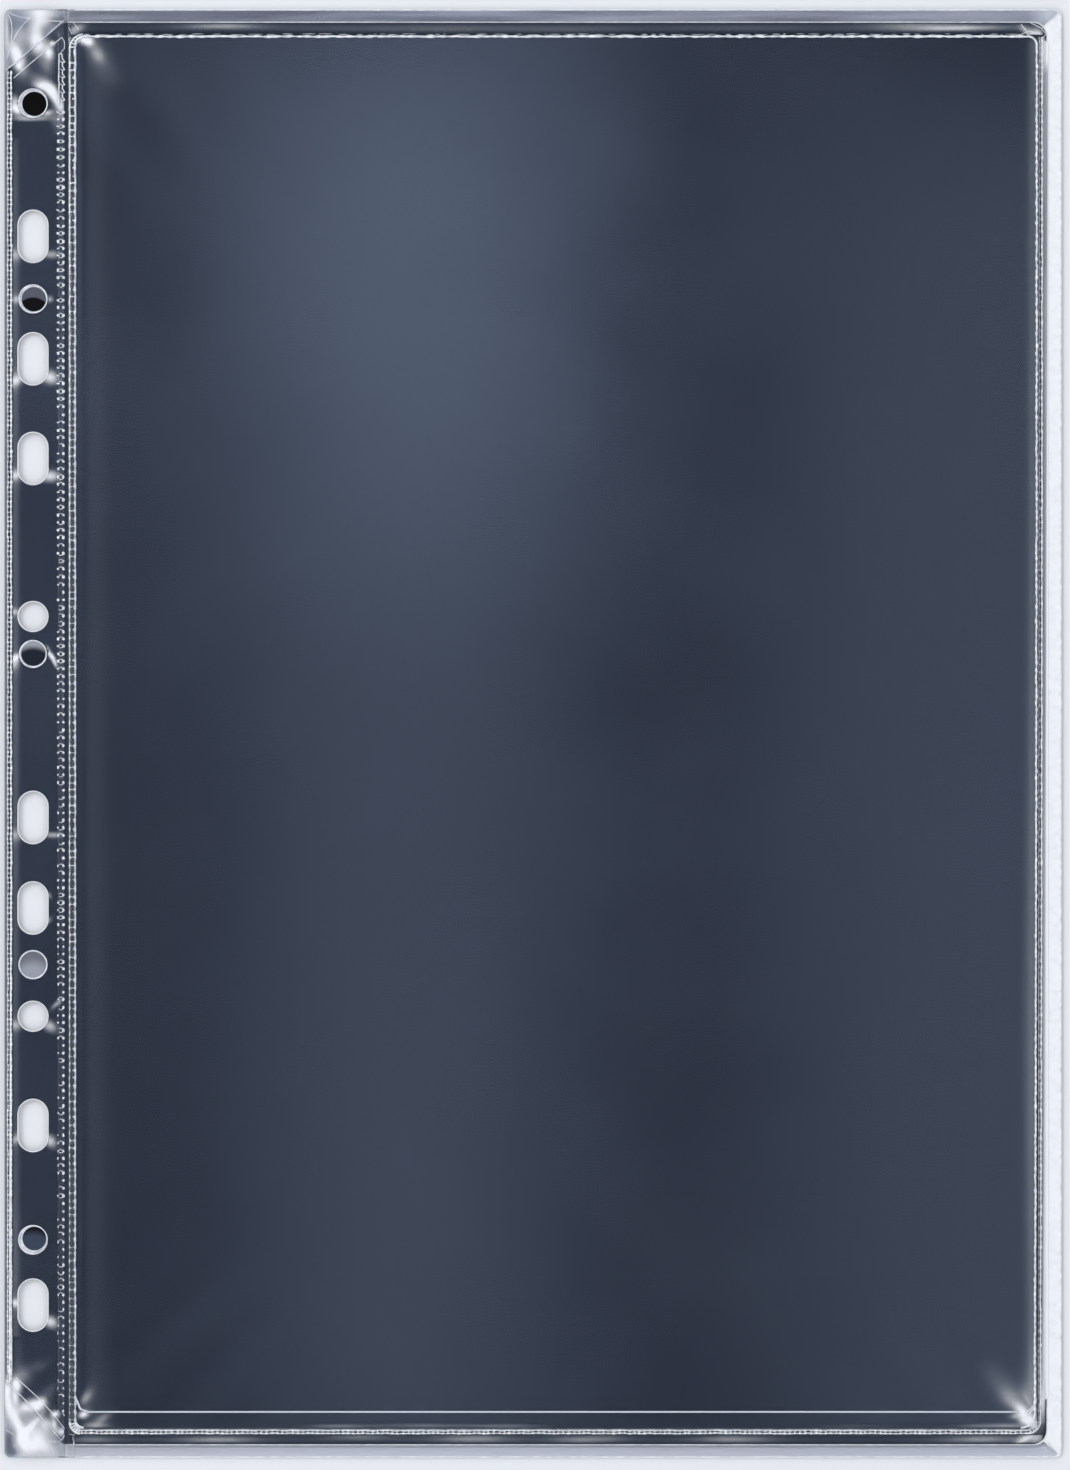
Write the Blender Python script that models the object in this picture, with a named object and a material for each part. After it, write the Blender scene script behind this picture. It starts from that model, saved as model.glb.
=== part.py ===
# Loose-leaf stock sheet: dark sheets between clear films, closed by knurled welds.
# The punched margin on the left folds on a film hinge, and a card slides out of the pocket's top.
# Metres, +Z out of the page, +Y towards the pocket's mouth, origin under the middle of the sheet.

import math

import bmesh
import bpy
from mathutils import Vector

MM = 0.001

# Insert card and the room around it
CARD_WIDTH = 210.0 * MM
CARD_HEIGHT = 301.0 * MM
CARD_THICKNESS = 0.6 * MM
CARD_CORNER = 2.0 * MM
CARD_SIDE_PLAY = 0.15 * MM
CARD_FACE_PLAY = 0.15 * MM
CARD_FOOT_SLACK = 3.25 * MM

# Films and sheets
FILM = 0.2 * MM
WEB_FILM = 0.15 * MM
BASE_THICKNESS = 0.5 * MM
LAYER_GAP = 0.05 * MM

# Borders of the page, from the pocket outwards
FORE_LAND = 0.72 * MM
FOOT_LAND = 2.07 * MM
MOUTH_LAND = 3.1 * MM
RIM_TOP = 3.0 * MM
RIM_FORE = 3.4 * MM
RIM_FOOT = 3.0 * MM
SHEET_CORNER = 1.6 * MM
BASE_CORNER = 3.0 * MM
POCKET_CORNER = 2.2 * MM
STEP_SLOPE = 0.1 * MM
WELT_INNER = 0.45 * MM
WELT_OUTER = 0.15 * MM

# Binding margin and its hinge
MARGIN_WIDTH = 13.6 * MM
GROOVE = 0.7 * MM
WEB_DIP = 0.2 * MM
WEB_DIP_WIDTH = 0.5 * MM
RIM_BIND = 0.7 * MM
CHAMFER_SHOULDER = 0.35 * MM
CHAMFER_TOP = 10.0 * MM
CHAMFER_FOOT = 12.9 * MM

# Punched holes: down from the top edge, above the middle, and up from the foot edge
HOLE_LINE = 6.3 * MM
HOLE_DIAMETER = 6.6 * MM
SLOT_LENGTH = 11.5 * MM
TOP_HOLES = (("ringed", 20.6 * MM), ("slot", 49.7 * MM), ("ringed", 63.4 * MM), ("slot", 76.5 * MM),
             ("slot", 98.3 * MM))
MIDDLE_HOLES = (("round", 25.6 * MM), ("ringed", 17.4 * MM))
FOOT_HOLES = (("slot", 140.1 * MM), ("slot", 120.3 * MM), ("ringed", 107.9 * MM), ("round", 96.6 * MM),
              ("slot", 72.7 * MM), ("ringed", 47.7 * MM), ("slot", 33.4 * MM))
RING_BORE = 5.2 * MM
RING_HEIGHT = 0.4 * MM
RING_ROUND = 0.15 * MM
RING_CLEARANCE = 0.05 * MM

# Welds: width, crest and valley of the beads, and the side rails
SPINE_WELD_WIDTH = 1.45 * MM
SPINE_WELD_PITCH = 1.6 * MM
SPINE_WELD_CREST = 0.34 * MM
SPINE_WELD_VALLEY = 0.12 * MM
SPINE_WELD_RAIL = 0.24 * MM
SPINE_WELD_END = 9.5 * MM
EDGE_WELD_WIDTH = 1.0 * MM
FORE_WELD_WIDTH = 1.0 * MM
FOOT_WELD_WIDTH = 1.25 * MM
BEAD_PITCH = 4.0 * MM
BEAD_CREST = 0.28 * MM
BEAD_VALLEY = 0.16 * MM
WELD_INSET = 0.08 * MM
CHAMFER_WELD_INSET = 1.4 * MM
LIP_WIDTH = 0.7 * MM
LIP_HEIGHT = 0.22 * MM
LIP_EDGE = 0.1 * MM

ARC_STEPS = 6
HOLE_STEPS = 20

# The sheet is as large as the card, its pocket and the borders make it
POCKET_WIDTH = CARD_WIDTH + 2 * (CARD_SIDE_PLAY + FILM)
SPINE_FLANGE = SPINE_WELD_WIDTH + WELD_INSET
FORE_FLANGE = FORE_WELD_WIDTH + WELD_INSET + FORE_LAND
FOOT_FLANGE = FOOT_WELD_WIDTH + WELD_INSET + FOOT_LAND
SHEET_WIDTH = MARGIN_WIDTH + GROOVE / 2 + SPINE_FLANGE + POCKET_WIDTH + FORE_FLANGE + RIM_FORE
SHEET_HEIGHT = RIM_FOOT + FOOT_FLANGE + FILM + CARD_FOOT_SLACK + CARD_HEIGHT + MOUTH_LAND + RIM_TOP

# Places across the sheet
SHEET_LEFT = -SHEET_WIDTH / 2
SHEET_RIGHT = SHEET_WIDTH / 2
HINGE_X = SHEET_LEFT + MARGIN_WIDTH
MARGIN_RIGHT = HINGE_X - GROOVE / 2
PAGE_LEFT = HINGE_X + GROOVE / 2
BASE_LEFT = SHEET_LEFT + RIM_BIND
BASE_RIGHT = SHEET_RIGHT - RIM_FORE
POCKET_LEFT = PAGE_LEFT + SPINE_FLANGE
POCKET_RIGHT = POCKET_LEFT + POCKET_WIDTH
CARD_LEFT = POCKET_LEFT + FILM + CARD_SIDE_PLAY
CARD_RIGHT = CARD_LEFT + CARD_WIDTH
HOLE_X = SHEET_LEFT + HOLE_LINE
CHAMFER_ACROSS = MARGIN_RIGHT - BASE_LEFT - CHAMFER_SHOULDER

# Places up the sheet
SHEET_FOOT = -SHEET_HEIGHT / 2
SHEET_TOP = SHEET_HEIGHT / 2
BASE_FOOT = SHEET_FOOT + RIM_FOOT
BASE_TOP = SHEET_TOP - RIM_TOP
POCKET_FOOT = BASE_FOOT + FOOT_FLANGE
CARD_FOOT = POCKET_FOOT + FILM + CARD_FOOT_SLACK
MOUTH = CARD_FOOT + CARD_HEIGHT
STRAIGHT_FOOT = BASE_FOOT + CHAMFER_FOOT
STRAIGHT_TOP = BASE_TOP - CHAMFER_TOP

# Levels of the layers
BASE_LEVEL = FILM + LAYER_GAP
COVER_LEVEL = BASE_LEVEL + BASE_THICKNESS + LAYER_GAP
WEB_LEVEL = COVER_LEVEL + FILM + LAYER_GAP
SPINE_WELD_LEVEL = WEB_LEVEL + WEB_FILM + LAYER_GAP
CARD_LEVEL = BASE_LEVEL + BASE_THICKNESS + CARD_FACE_PLAY
POCKET_RISE = CARD_LEVEL + CARD_THICKNESS + CARD_FACE_PLAY - COVER_LEVEL
LIP_LEVEL = COVER_LEVEL + POCKET_RISE + FILM + LAYER_GAP


def clear_scene():
    for ob in list(bpy.data.objects):
        bpy.data.objects.remove(ob)


def make_material(name, colour, roughness, transmission):
    mat = bpy.data.materials.new(name)
    mat.use_nodes = True
    shader = mat.node_tree.nodes["Principled BSDF"]
    shader.inputs["Base Color"].default_value = (*colour, 1.0)
    shader.inputs["Roughness"].default_value = roughness
    shader.inputs["Metallic"].default_value = 0.0
    shader.inputs["Transmission Weight"].default_value = transmission
    return mat


def clear_film(name):
    return make_material(name + "_clear_pvc", (0.86, 0.88, 0.92), 0.12, 0.8)


def weld_film(name):
    return make_material(name + "_fused_pvc", (0.75, 0.77, 0.82), 0.25, 0.5)


def dark_sheet(name):
    return make_material(name + "_slate_sheet", (0.03, 0.038, 0.06), 0.4, 0.0)


def make_empty(name, place):
    empty = bpy.data.objects.new(name, None)
    empty.location = place
    bpy.context.collection.objects.link(empty)
    return empty


# Turns a finished bmesh into a named object at its layer's level, carried by its body
def make_object(name, bm, level, mat, carrier):
    bmesh.ops.recalc_face_normals(bm, faces=bm.faces)
    mesh = bpy.data.meshes.new(name)
    bm.to_mesh(mesh)
    bm.free()
    if mat:
        mesh.materials.append(mat)
    ob = bpy.data.objects.new(name, mesh)
    bpy.context.collection.objects.link(ob)
    ob.location = (0.0, 0.0, level)
    if carrier:
        ob.parent = carrier
        ob.location = Vector((0.0, 0.0, level)) - carrier.location
    return ob


# Corner points with a radius each, run anticlockwise, rounded into one outline
def rounded_outline(corners):
    points = []
    for index, (x, y, radius) in enumerate(corners):
        corner = Vector((x, y))
        if radius == 0:
            points.append(corner)
            continue
        before = Vector(corners[index - 1][:2]) - corner
        after = Vector(corners[(index + 1) % len(corners)][:2]) - corner
        before.normalize()
        after.normalize()
        half = before.angle(after) / 2
        centre = corner + (before + after).normalized() * (radius / math.sin(half))
        first = corner + before * (radius / math.tan(half)) - centre
        sweep = math.pi - 2 * half
        for step in range(ARC_STEPS + 1):
            turn = sweep * step / ARC_STEPS
            arm = Vector((first.x * math.cos(turn) - first.y * math.sin(turn),
                          first.x * math.sin(turn) + first.y * math.cos(turn)))
            points.append(centre + arm)
    return points


def stadium(x, y, width, length):
    straight = (length - width) / 2
    points = []
    half_steps = HOLE_STEPS // 2
    for end, start in ((straight, 0.0), (-straight, math.pi)):
        for step in range(half_steps + (1 if straight else 0)):
            turn = start + math.pi * step / half_steps
            points.append(Vector((x + math.cos(turn) * width / 2, y + end + math.sin(turn) * width / 2)))
    return points


def extrude_outline(bm, outline, low, high):
    verts = [bm.verts.new((point.x, point.y, low)) for point in outline]
    face = bm.faces.new(verts)
    grown = bmesh.ops.extrude_face_region(bm, geom=[face])
    top = [item for item in grown["geom"] if isinstance(item, bmesh.types.BMVert)]
    bmesh.ops.translate(bm, verts=top, vec=(0.0, 0.0, high - low))


def make_plate(name, outline, thickness, level, mat, carrier):
    bm = bmesh.new()
    extrude_outline(bm, outline, 0.0, thickness)
    return make_object(name, bm, level, mat, carrier)


# One tool with a prism for each hole, left out of the finished part
def make_punch(name, outlines):
    bm = bmesh.new()
    for outline in outlines:
        extrude_outline(bm, outline, -SHEET_CORNER, SHEET_CORNER + WEB_LEVEL)
    punch = make_object(name, bm, 0.0, None, None)
    punch.hide_render = True
    punch.display_type = "WIRE"
    return punch


def punch_through(ob, punch):
    cut = ob.modifiers.new(punch.name, "BOOLEAN")
    cut.operation = "DIFFERENCE"
    cut.solver = "EXACT"
    cut.object = punch


# Skin through closed cross-sections of equal point count, capped at both ends
def loft_sections(bm, sections):
    rings = [[bm.verts.new(point) for point in section] for section in sections]
    for ring, following in zip(rings, rings[1:]):
        for index in range(len(ring)):
            after = (index + 1) % len(ring)
            bm.faces.new((ring[index], ring[after], following[after], following[index]))
    bm.faces.new(list(reversed(rings[0])))
    bm.faces.new(rings[-1])


def make_loft(name, sections, level, mat, carrier):
    bm = bmesh.new()
    loft_sections(bm, sections)
    bmesh.ops.dissolve_limit(bm, angle_limit=math.radians(0.02), verts=bm.verts, edges=bm.edges)
    return make_object(name, bm, level, mat, carrier)


# Points at even steps along a path, with the mitred normal to the path's left at each
def walk_path(path, step):
    places = []
    for start, end in zip(path, path[1:]):
        count = max(1, round((end - start).length / step))
        places.extend(start.lerp(end, index / count) for index in range(count))
    places.append(path[-1])
    walked = []
    for index, place in enumerate(places):
        before = places[max(index, 1)] - places[max(index, 1) - 1]
        ahead = min(index, len(places) - 2)
        after = places[ahead + 1] - places[ahead]
        left = Vector((-before.y, before.x)).normalized()
        right = Vector((-after.y, after.x)).normalized()
        walked.append((place, (left + right) / (1 + left.dot(right))))
    return walked


def across(place, normal, offset, height):
    spot = place + normal * offset
    return Vector((spot.x, spot.y, height))


# Knurled weld: two side rails with a rung of fused film at each pitch between them
def make_ladder_weld(name, path, level, carrier):
    sections = []
    rail_width = SPINE_WELD_WIDTH / 4
    for index, (place, normal) in enumerate(walk_path(path, SPINE_WELD_PITCH / 2)):
        middle = SPINE_WELD_CREST if index % 2 else SPINE_WELD_VALLEY
        half = SPINE_WELD_WIDTH / 2
        sections.append([
            across(place, normal, half, 0.0),
            across(place, normal, half, SPINE_WELD_RAIL),
            across(place, normal, half - rail_width, middle),
            across(place, normal, rail_width - half, middle),
            across(place, normal, -half, SPINE_WELD_RAIL),
            across(place, normal, -half, 0.0),
        ])
    return make_loft(name, sections, level, weld_film(name), carrier)


# Beaded weld: one row of low beads along a path
def make_bead_weld(name, path, width, level, carrier):
    sections = []
    for index, (place, normal) in enumerate(walk_path(path, BEAD_PITCH / 2)):
        crest = BEAD_CREST if index % 2 else BEAD_VALLEY
        sections.append([
            across(place, normal, width / 2, 0.0),
            across(place, normal, width / 4, crest),
            across(place, normal, -width / 4, crest),
            across(place, normal, -width / 2, 0.0),
        ])
    return make_loft(name, sections, level, weld_film(name), carrier)


def make_page_back_film(page):
    outline = rounded_outline((
        (PAGE_LEFT, SHEET_FOOT, 0.0),
        (SHEET_RIGHT, SHEET_FOOT, SHEET_CORNER),
        (SHEET_RIGHT, SHEET_TOP, SHEET_CORNER),
        (PAGE_LEFT, SHEET_TOP, 0.0),
    ))
    make_plate("page_back_film", outline, FILM, 0.0, clear_film("page_back_film"), page)


def page_base_outline(grown):
    return rounded_outline((
        (PAGE_LEFT, BASE_FOOT - grown, 0.0),
        (BASE_RIGHT + grown, BASE_FOOT - grown, BASE_CORNER + grown),
        (BASE_RIGHT + grown, BASE_TOP + grown, BASE_CORNER + grown),
        (PAGE_LEFT, BASE_TOP + grown, 0.0),
    ))


def make_page_base(page):
    make_plate("page_base", page_base_outline(0.0), BASE_THICKNESS, BASE_LEVEL, dark_sheet("page_base"), page)


# Fused rim that slopes from the base sheet's edge down to the sheet's own edge
def make_edge_welt(page):
    inner = page_base_outline(LAYER_GAP)
    outer = rounded_outline((
        (PAGE_LEFT, SHEET_FOOT, 0.0),
        (SHEET_RIGHT, SHEET_FOOT, SHEET_CORNER),
        (SHEET_RIGHT, SHEET_TOP, SHEET_CORNER),
        (PAGE_LEFT, SHEET_TOP, 0.0),
    ))
    sections = []
    for near, far in zip(inner, outer):
        sections.append([
            Vector((near.x, near.y, 0.0)),
            Vector((far.x, far.y, 0.0)),
            Vector((far.x, far.y, WELT_OUTER)),
            Vector((near.x, near.y, WELT_INNER)),
        ])
    make_loft("edge_welt", sections, BASE_LEVEL, clear_film("edge_welt"), page)


# Path round the pocket from the mouth's left end by the foot to its right end
def pocket_path(left, right, foot, corner):
    outline = rounded_outline((
        (left, MOUTH, 0.0),
        (left, foot, corner),
        (right, foot, corner),
        (right, MOUTH, 0.0),
    ))
    return outline


# Front film: a flange welded down on three sides, stepped up over the card, open at the mouth
def make_pocket_film(page):
    flange = pocket_path(PAGE_LEFT, BASE_RIGHT, BASE_FOOT, BASE_CORNER)
    wall = pocket_path(POCKET_LEFT, POCKET_RIGHT, POCKET_FOOT, POCKET_CORNER)
    brow = pocket_path(POCKET_LEFT + STEP_SLOPE, POCKET_RIGHT - STEP_SLOPE, POCKET_FOOT + STEP_SLOPE,
                       POCKET_CORNER - STEP_SLOPE)
    bm = bmesh.new()
    rings = [
        [bm.verts.new((point.x, point.y, FILM)) for point in flange],
        [bm.verts.new((point.x, point.y, FILM)) for point in wall],
        [bm.verts.new((point.x, point.y, POCKET_RISE + FILM)) for point in brow],
    ]
    for ring, following in zip(rings, rings[1:]):
        for index in range(len(ring) - 1):
            bm.faces.new((ring[index], ring[index + 1], following[index + 1], following[index]))
    bm.faces.new(rings[-1])
    film = make_object("pocket_film", bm, COVER_LEVEL, clear_film("pocket_film"), page)
    shell = film.modifiers.new("film", "SOLIDIFY")
    shell.thickness = FILM
    shell.offset = -1.0
    shell.use_even_offset = True
    return film


def make_mouth_lip(page):
    middle = MOUTH - LIP_WIDTH / 2
    inset = STEP_SLOPE + FILM
    path = (Vector((POCKET_LEFT + inset, middle)), Vector((POCKET_RIGHT - inset, middle)))
    sections = []
    for place, normal in walk_path(path, SHEET_WIDTH):
        sections.append([
            across(place, normal, LIP_WIDTH / 2, 0.0),
            across(place, normal, LIP_WIDTH / 2, LIP_EDGE),
            across(place, normal, LIP_WIDTH / 4, LIP_HEIGHT),
            across(place, normal, -LIP_WIDTH / 4, LIP_HEIGHT),
            across(place, normal, -LIP_WIDTH / 2, LIP_EDGE),
            across(place, normal, -LIP_WIDTH / 2, 0.0),
        ])
    make_loft("mouth_lip", sections, LIP_LEVEL, clear_film("mouth_lip"), page)


def make_page_welds(page):
    spine = PAGE_LEFT + WELD_INSET / 2 + SPINE_WELD_WIDTH / 2
    path = (Vector((spine, BASE_TOP - WELD_INSET)), Vector((spine, BASE_FOOT + WELD_INSET)))
    make_ladder_weld("spine_weld_inner", path, SPINE_WELD_LEVEL, page)
    fore = POCKET_RIGHT + WELD_INSET + FORE_WELD_WIDTH / 2
    foot = POCKET_FOOT - WELD_INSET - FOOT_WELD_WIDTH / 2
    level = COVER_LEVEL + FILM + LAYER_GAP
    path = (Vector((fore, foot - FOOT_WELD_WIDTH / 2)), Vector((fore, MOUTH)))
    make_bead_weld("fore_edge_weld", path, FORE_WELD_WIDTH, level, page)
    ends = (POCKET_LEFT, fore - FORE_WELD_WIDTH / 2 - WELD_INSET)
    path = (Vector((ends[0], foot)), Vector((ends[1], foot)))
    make_bead_weld("foot_weld", path, FOOT_WELD_WIDTH, level, page)


def make_insert_card(slide):
    outline = rounded_outline((
        (CARD_LEFT, CARD_FOOT, CARD_CORNER),
        (CARD_RIGHT, CARD_FOOT, CARD_CORNER),
        (CARD_RIGHT, MOUTH, CARD_CORNER),
        (CARD_LEFT, MOUTH, CARD_CORNER),
    ))
    make_plate("insert_card", outline, CARD_THICKNESS, CARD_LEVEL, dark_sheet("insert_card"), slide)


def margin_base_outline():
    return rounded_outline((
        (BASE_LEFT, STRAIGHT_FOOT, 0.0),
        (BASE_LEFT + CHAMFER_ACROSS, BASE_FOOT, 0.0),
        (MARGIN_RIGHT, BASE_FOOT, 0.0),
        (MARGIN_RIGHT, BASE_TOP, 0.0),
        (BASE_LEFT + CHAMFER_ACROSS, BASE_TOP, 0.0),
        (BASE_LEFT, STRAIGHT_TOP, 0.0),
    ))


def hole_heights(wanted):
    heights = [SHEET_TOP - drop for kind, drop in TOP_HOLES if kind == wanted]
    heights += [height for kind, height in MIDDLE_HOLES if kind == wanted]
    heights += [SHEET_FOOT + rise for kind, rise in FOOT_HOLES if kind == wanted]
    return heights


def make_margin_sheets(margin):
    back = rounded_outline((
        (SHEET_LEFT, SHEET_FOOT, SHEET_CORNER),
        (MARGIN_RIGHT, SHEET_FOOT, 0.0),
        (MARGIN_RIGHT, SHEET_TOP, 0.0),
        (SHEET_LEFT, SHEET_TOP, SHEET_CORNER),
    ))
    through = [stadium(HOLE_X, y, HOLE_DIAMETER, SLOT_LENGTH) for y in hole_heights("slot")]
    through += [stadium(HOLE_X, y, HOLE_DIAMETER, HOLE_DIAMETER) for y in hole_heights("round")]
    ringed = [stadium(HOLE_X, y, HOLE_DIAMETER, HOLE_DIAMETER) for y in hole_heights("ringed")]
    through_punch = make_punch("through_punch", through)
    ring_punch = make_punch("ring_punch", ringed)
    outline = margin_base_outline()
    film = make_plate("margin_back_film", back, FILM, 0.0, clear_film("margin_back_film"), margin)
    punch_through(film, through_punch)
    base = make_plate("margin_base", outline, BASE_THICKNESS, BASE_LEVEL, dark_sheet("margin_base"), margin)
    punch_through(base, through_punch)
    strip = make_plate("binding_strip", outline, FILM, COVER_LEVEL, clear_film("binding_strip"), margin)
    punch_through(strip, through_punch)
    punch_through(strip, ring_punch)


# Reinforcing ring turned from a rounded profile, seated in its hole of the binding strip
def make_hole_rings(margin):
    outer = HOLE_DIAMETER / 2 - RING_CLEARANCE
    inner = RING_BORE / 2
    profile = (
        (outer, 0.0),
        (outer, RING_HEIGHT - RING_ROUND),
        (outer - RING_ROUND, RING_HEIGHT),
        (inner + RING_ROUND, RING_HEIGHT),
        (inner, RING_HEIGHT - RING_ROUND),
        (inner, 0.0),
    )
    for number, y in enumerate(hole_heights("ringed"), start=1):
        bm = bmesh.new()
        verts = [bm.verts.new((HOLE_X + radius, y, height)) for radius, height in profile]
        edges = [bm.edges.new((verts[i], verts[(i + 1) % len(verts)])) for i in range(len(verts))]
        bmesh.ops.spin(bm, geom=verts + edges, cent=(HOLE_X, y, 0.0), axis=(0.0, 0.0, 1.0),
                       angle=2 * math.pi, steps=HOLE_STEPS, use_merge=True)
        bmesh.ops.remove_doubles(bm, verts=bm.verts, dist=0.01 * MM)
        name = "hole_ring_" + str(number)
        make_object(name, bm, COVER_LEVEL, weld_film(name), margin)


# Path of the margin's weld: down the top cut-off corner, the left edge and the lower corner
def margin_weld_path():
    left = BASE_LEFT + WELD_INSET + EDGE_WELD_WIDTH / 2
    inset = CHAMFER_WELD_INSET
    stop = SPINE_WELD_WIDTH + 2 * WELD_INSET + EDGE_WELD_WIDTH
    points = []
    for rise, base_end, straight_end, side in (
        (CHAMFER_TOP, BASE_TOP, STRAIGHT_TOP, 1.0),
        (CHAMFER_FOOT, BASE_FOOT, STRAIGHT_FOOT, -1.0),
    ):
        slope = rise / CHAMFER_ACROSS
        drop = inset * math.hypot(1.0, slope)
        start = straight_end + side * (slope * (left - BASE_LEFT) - drop)
        far_x = MARGIN_RIGHT - stop
        far_y = straight_end + side * (slope * (far_x - BASE_LEFT) - drop)
        points.append((Vector((left, start)), Vector((far_x, far_y))))
    (top_corner, top_end), (foot_corner, foot_end) = points
    return (top_end, top_corner, foot_corner, foot_end)


def make_margin_welds(margin):
    level = COVER_LEVEL + FILM + LAYER_GAP
    make_bead_weld("margin_edge_weld", margin_weld_path(), EDGE_WELD_WIDTH, level, margin)
    spine = MARGIN_RIGHT - WELD_INSET / 2 - SPINE_WELD_WIDTH / 2
    path = (Vector((spine, SHEET_TOP - SPINE_WELD_END)), Vector((spine, SHEET_FOOT + SPINE_WELD_END)))
    make_ladder_weld("spine_weld_outer", path, SPINE_WELD_LEVEL, margin)


# Thin film over the groove, with a shallow crease along the hinge line
def make_hinge_web(page):
    reach = GROOVE / 2 + WELD_INSET / 2 + SPINE_WELD_WIDTH
    crease = WEB_DIP_WIDTH / 2
    profile = (
        (-reach, 0.0),
        (-crease, 0.0),
        (0.0, -WEB_DIP),
        (crease, 0.0),
        (reach, 0.0),
        (reach, WEB_FILM),
        (crease, WEB_FILM),
        (0.0, WEB_FILM - WEB_DIP),
        (-crease, WEB_FILM),
        (-reach, WEB_FILM),
    )
    sections = []
    for y in (SHEET_FOOT, SHEET_TOP):
        sections.append([Vector((HINGE_X + x, y, height)) for x, height in profile])
    make_loft("hinge_web", sections, WEB_LEVEL, clear_film("hinge_web"), page)


def main():
    clear_scene()
    page = make_empty("page", (0.0, 0.0, 0.0))
    slide = make_empty("card_slide", ((CARD_LEFT + CARD_RIGHT) / 2, MOUTH, CARD_LEVEL))
    margin = make_empty("margin_hinge", (HINGE_X, 0.0, WEB_LEVEL))
    slide.parent = page
    margin.parent = page
    make_page_back_film(page)
    make_page_base(page)
    make_edge_welt(page)
    make_pocket_film(page)
    make_mouth_lip(page)
    make_page_welds(page)
    make_insert_card(slide)
    make_margin_sheets(margin)
    make_hole_rings(margin)
    make_margin_welds(margin)
    make_hinge_web(page)


main()
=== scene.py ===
import math
import random

import bmesh
import bpy
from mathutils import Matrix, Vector, noise


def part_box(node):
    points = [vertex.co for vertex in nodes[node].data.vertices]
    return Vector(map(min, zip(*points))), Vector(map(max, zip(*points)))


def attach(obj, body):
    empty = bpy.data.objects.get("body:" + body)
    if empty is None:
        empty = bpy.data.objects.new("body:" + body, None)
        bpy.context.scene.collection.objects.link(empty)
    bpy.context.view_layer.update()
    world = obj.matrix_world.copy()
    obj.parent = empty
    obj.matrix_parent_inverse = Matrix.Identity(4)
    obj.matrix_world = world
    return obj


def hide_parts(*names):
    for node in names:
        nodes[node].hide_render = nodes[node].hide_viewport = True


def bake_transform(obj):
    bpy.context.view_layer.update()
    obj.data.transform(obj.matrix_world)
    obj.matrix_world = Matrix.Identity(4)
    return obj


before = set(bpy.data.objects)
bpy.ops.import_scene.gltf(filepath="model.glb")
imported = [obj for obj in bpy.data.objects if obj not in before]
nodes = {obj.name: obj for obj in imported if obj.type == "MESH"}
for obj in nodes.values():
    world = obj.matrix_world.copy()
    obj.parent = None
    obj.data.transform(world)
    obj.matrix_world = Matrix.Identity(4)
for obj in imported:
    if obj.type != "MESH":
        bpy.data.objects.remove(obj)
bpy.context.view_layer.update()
MM = 0.001


# Page back film
# A clear soft PVC sheet behind the whole page. It is what the page lies on, and its border
# carries the rim. It shows only past the edge of the dark ground.
FILM_IOR = 1.46
GRAIN_DEPTH = 0.02 * MM
GLOSS_DRIFT = 22.0
UNIT = (0.0, 1.0)
NOISE_SPAN = (0.3, 0.7)


# Sets a node's inputs, each to a plain value, a colour or what another node gives
def feed(node, values):
    for entry, value in values.items():
        socket = node.inputs[entry]
        if isinstance(value, bpy.types.NodeSocket):
            node.id_data.links.new(value, socket)
        else:
            socket.default_value = (*value, 1.0) if socket.type == "RGBA" else value


# Adds a shader node with its own settings and inputs, and gives back its outputs
def add_node(tree, kind, values, **settings):
    node = tree.nodes.new("ShaderNode" + kind)
    for setting, choice in settings.items():
        setattr(node, setting, choice)
    feed(node, values)
    return node.outputs


def object_place(tree):
    return add_node(tree, "TexCoord", {})["Object"]


def object_axes(tree):
    return add_node(tree, "SeparateXYZ", {"Vector": object_place(tree)})


# Noise over the object's own space, which can be stretched
def add_noise(tree, scale, detail, stretch=None):
    place = object_place(tree)
    if stretch:
        place = add_node(tree, "Mapping", {"Vector": place, "Scale": stretch})["Vector"]
    return add_node(tree, "TexNoise", {"Vector": place, "Scale": scale, "Detail": detail})["Fac"]


# Takes a value from one span to another
def add_range(tree, value, span, target=UNIT, **settings):
    limits = {"From Min": span[0], "From Max": span[1], "To Min": target[0], "To Max": target[1]}
    return add_node(tree, "MapRange", {"Value": value, **limits}, **settings)["Result"]


def add_mix(tree, share, first, second):
    return add_node(tree, "Mix", {"Factor": share, "A": first, "B": second}, data_type="RGBA")["Result"]


def add_math(tree, operation, *values):
    return add_node(tree, "Math", dict(enumerate(values)), operation=operation)["Value"]


def add_relief(tree, height, strength):
    values = {"Height": height, "Strength": strength, "Distance": GRAIN_DEPTH}
    return add_node(tree, "Bump", values)["Normal"]


# A new material, with its tree and its main shader
def new_material(name):
    mat = bpy.data.materials.new(name)
    mat.use_nodes = True
    return mat, mat.node_tree, mat.node_tree.nodes["Principled BSDF"]


def retint(mat, colour):
    feed(mat.node_tree.nodes["Principled BSDF"], {"Base Color": colour})


# Clear film that lets lamp light through to what it covers, with an orange-peel grain and a drift of gloss
def make_film(name, tint, glossy, dull, grain, bump):
    mat, tree, shader = new_material(name)
    gloss = add_range(tree, add_noise(tree, GLOSS_DRIFT, 3.0), NOISE_SPAN, (glossy, dull))
    relief = add_relief(tree, add_noise(tree, grain, 2.0), bump)
    feed(shader, {"Base Color": tint, "Transmission Weight": 1.0, "IOR": FILM_IOR})
    feed(shader, {"Roughness": gloss, "Normal": relief})
    through = add_node(tree, "BsdfTransparent", {"Color": tint})["BSDF"]
    shadow = add_node(tree, "LightPath", {})["Is Shadow Ray"]
    choice = add_node(tree, "MixShader", {0: shadow, 1: shader.outputs["BSDF"], 2: through})
    feed(tree.nodes["Material Output"], {"Surface": choice["Shader"]})
    return mat


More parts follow.
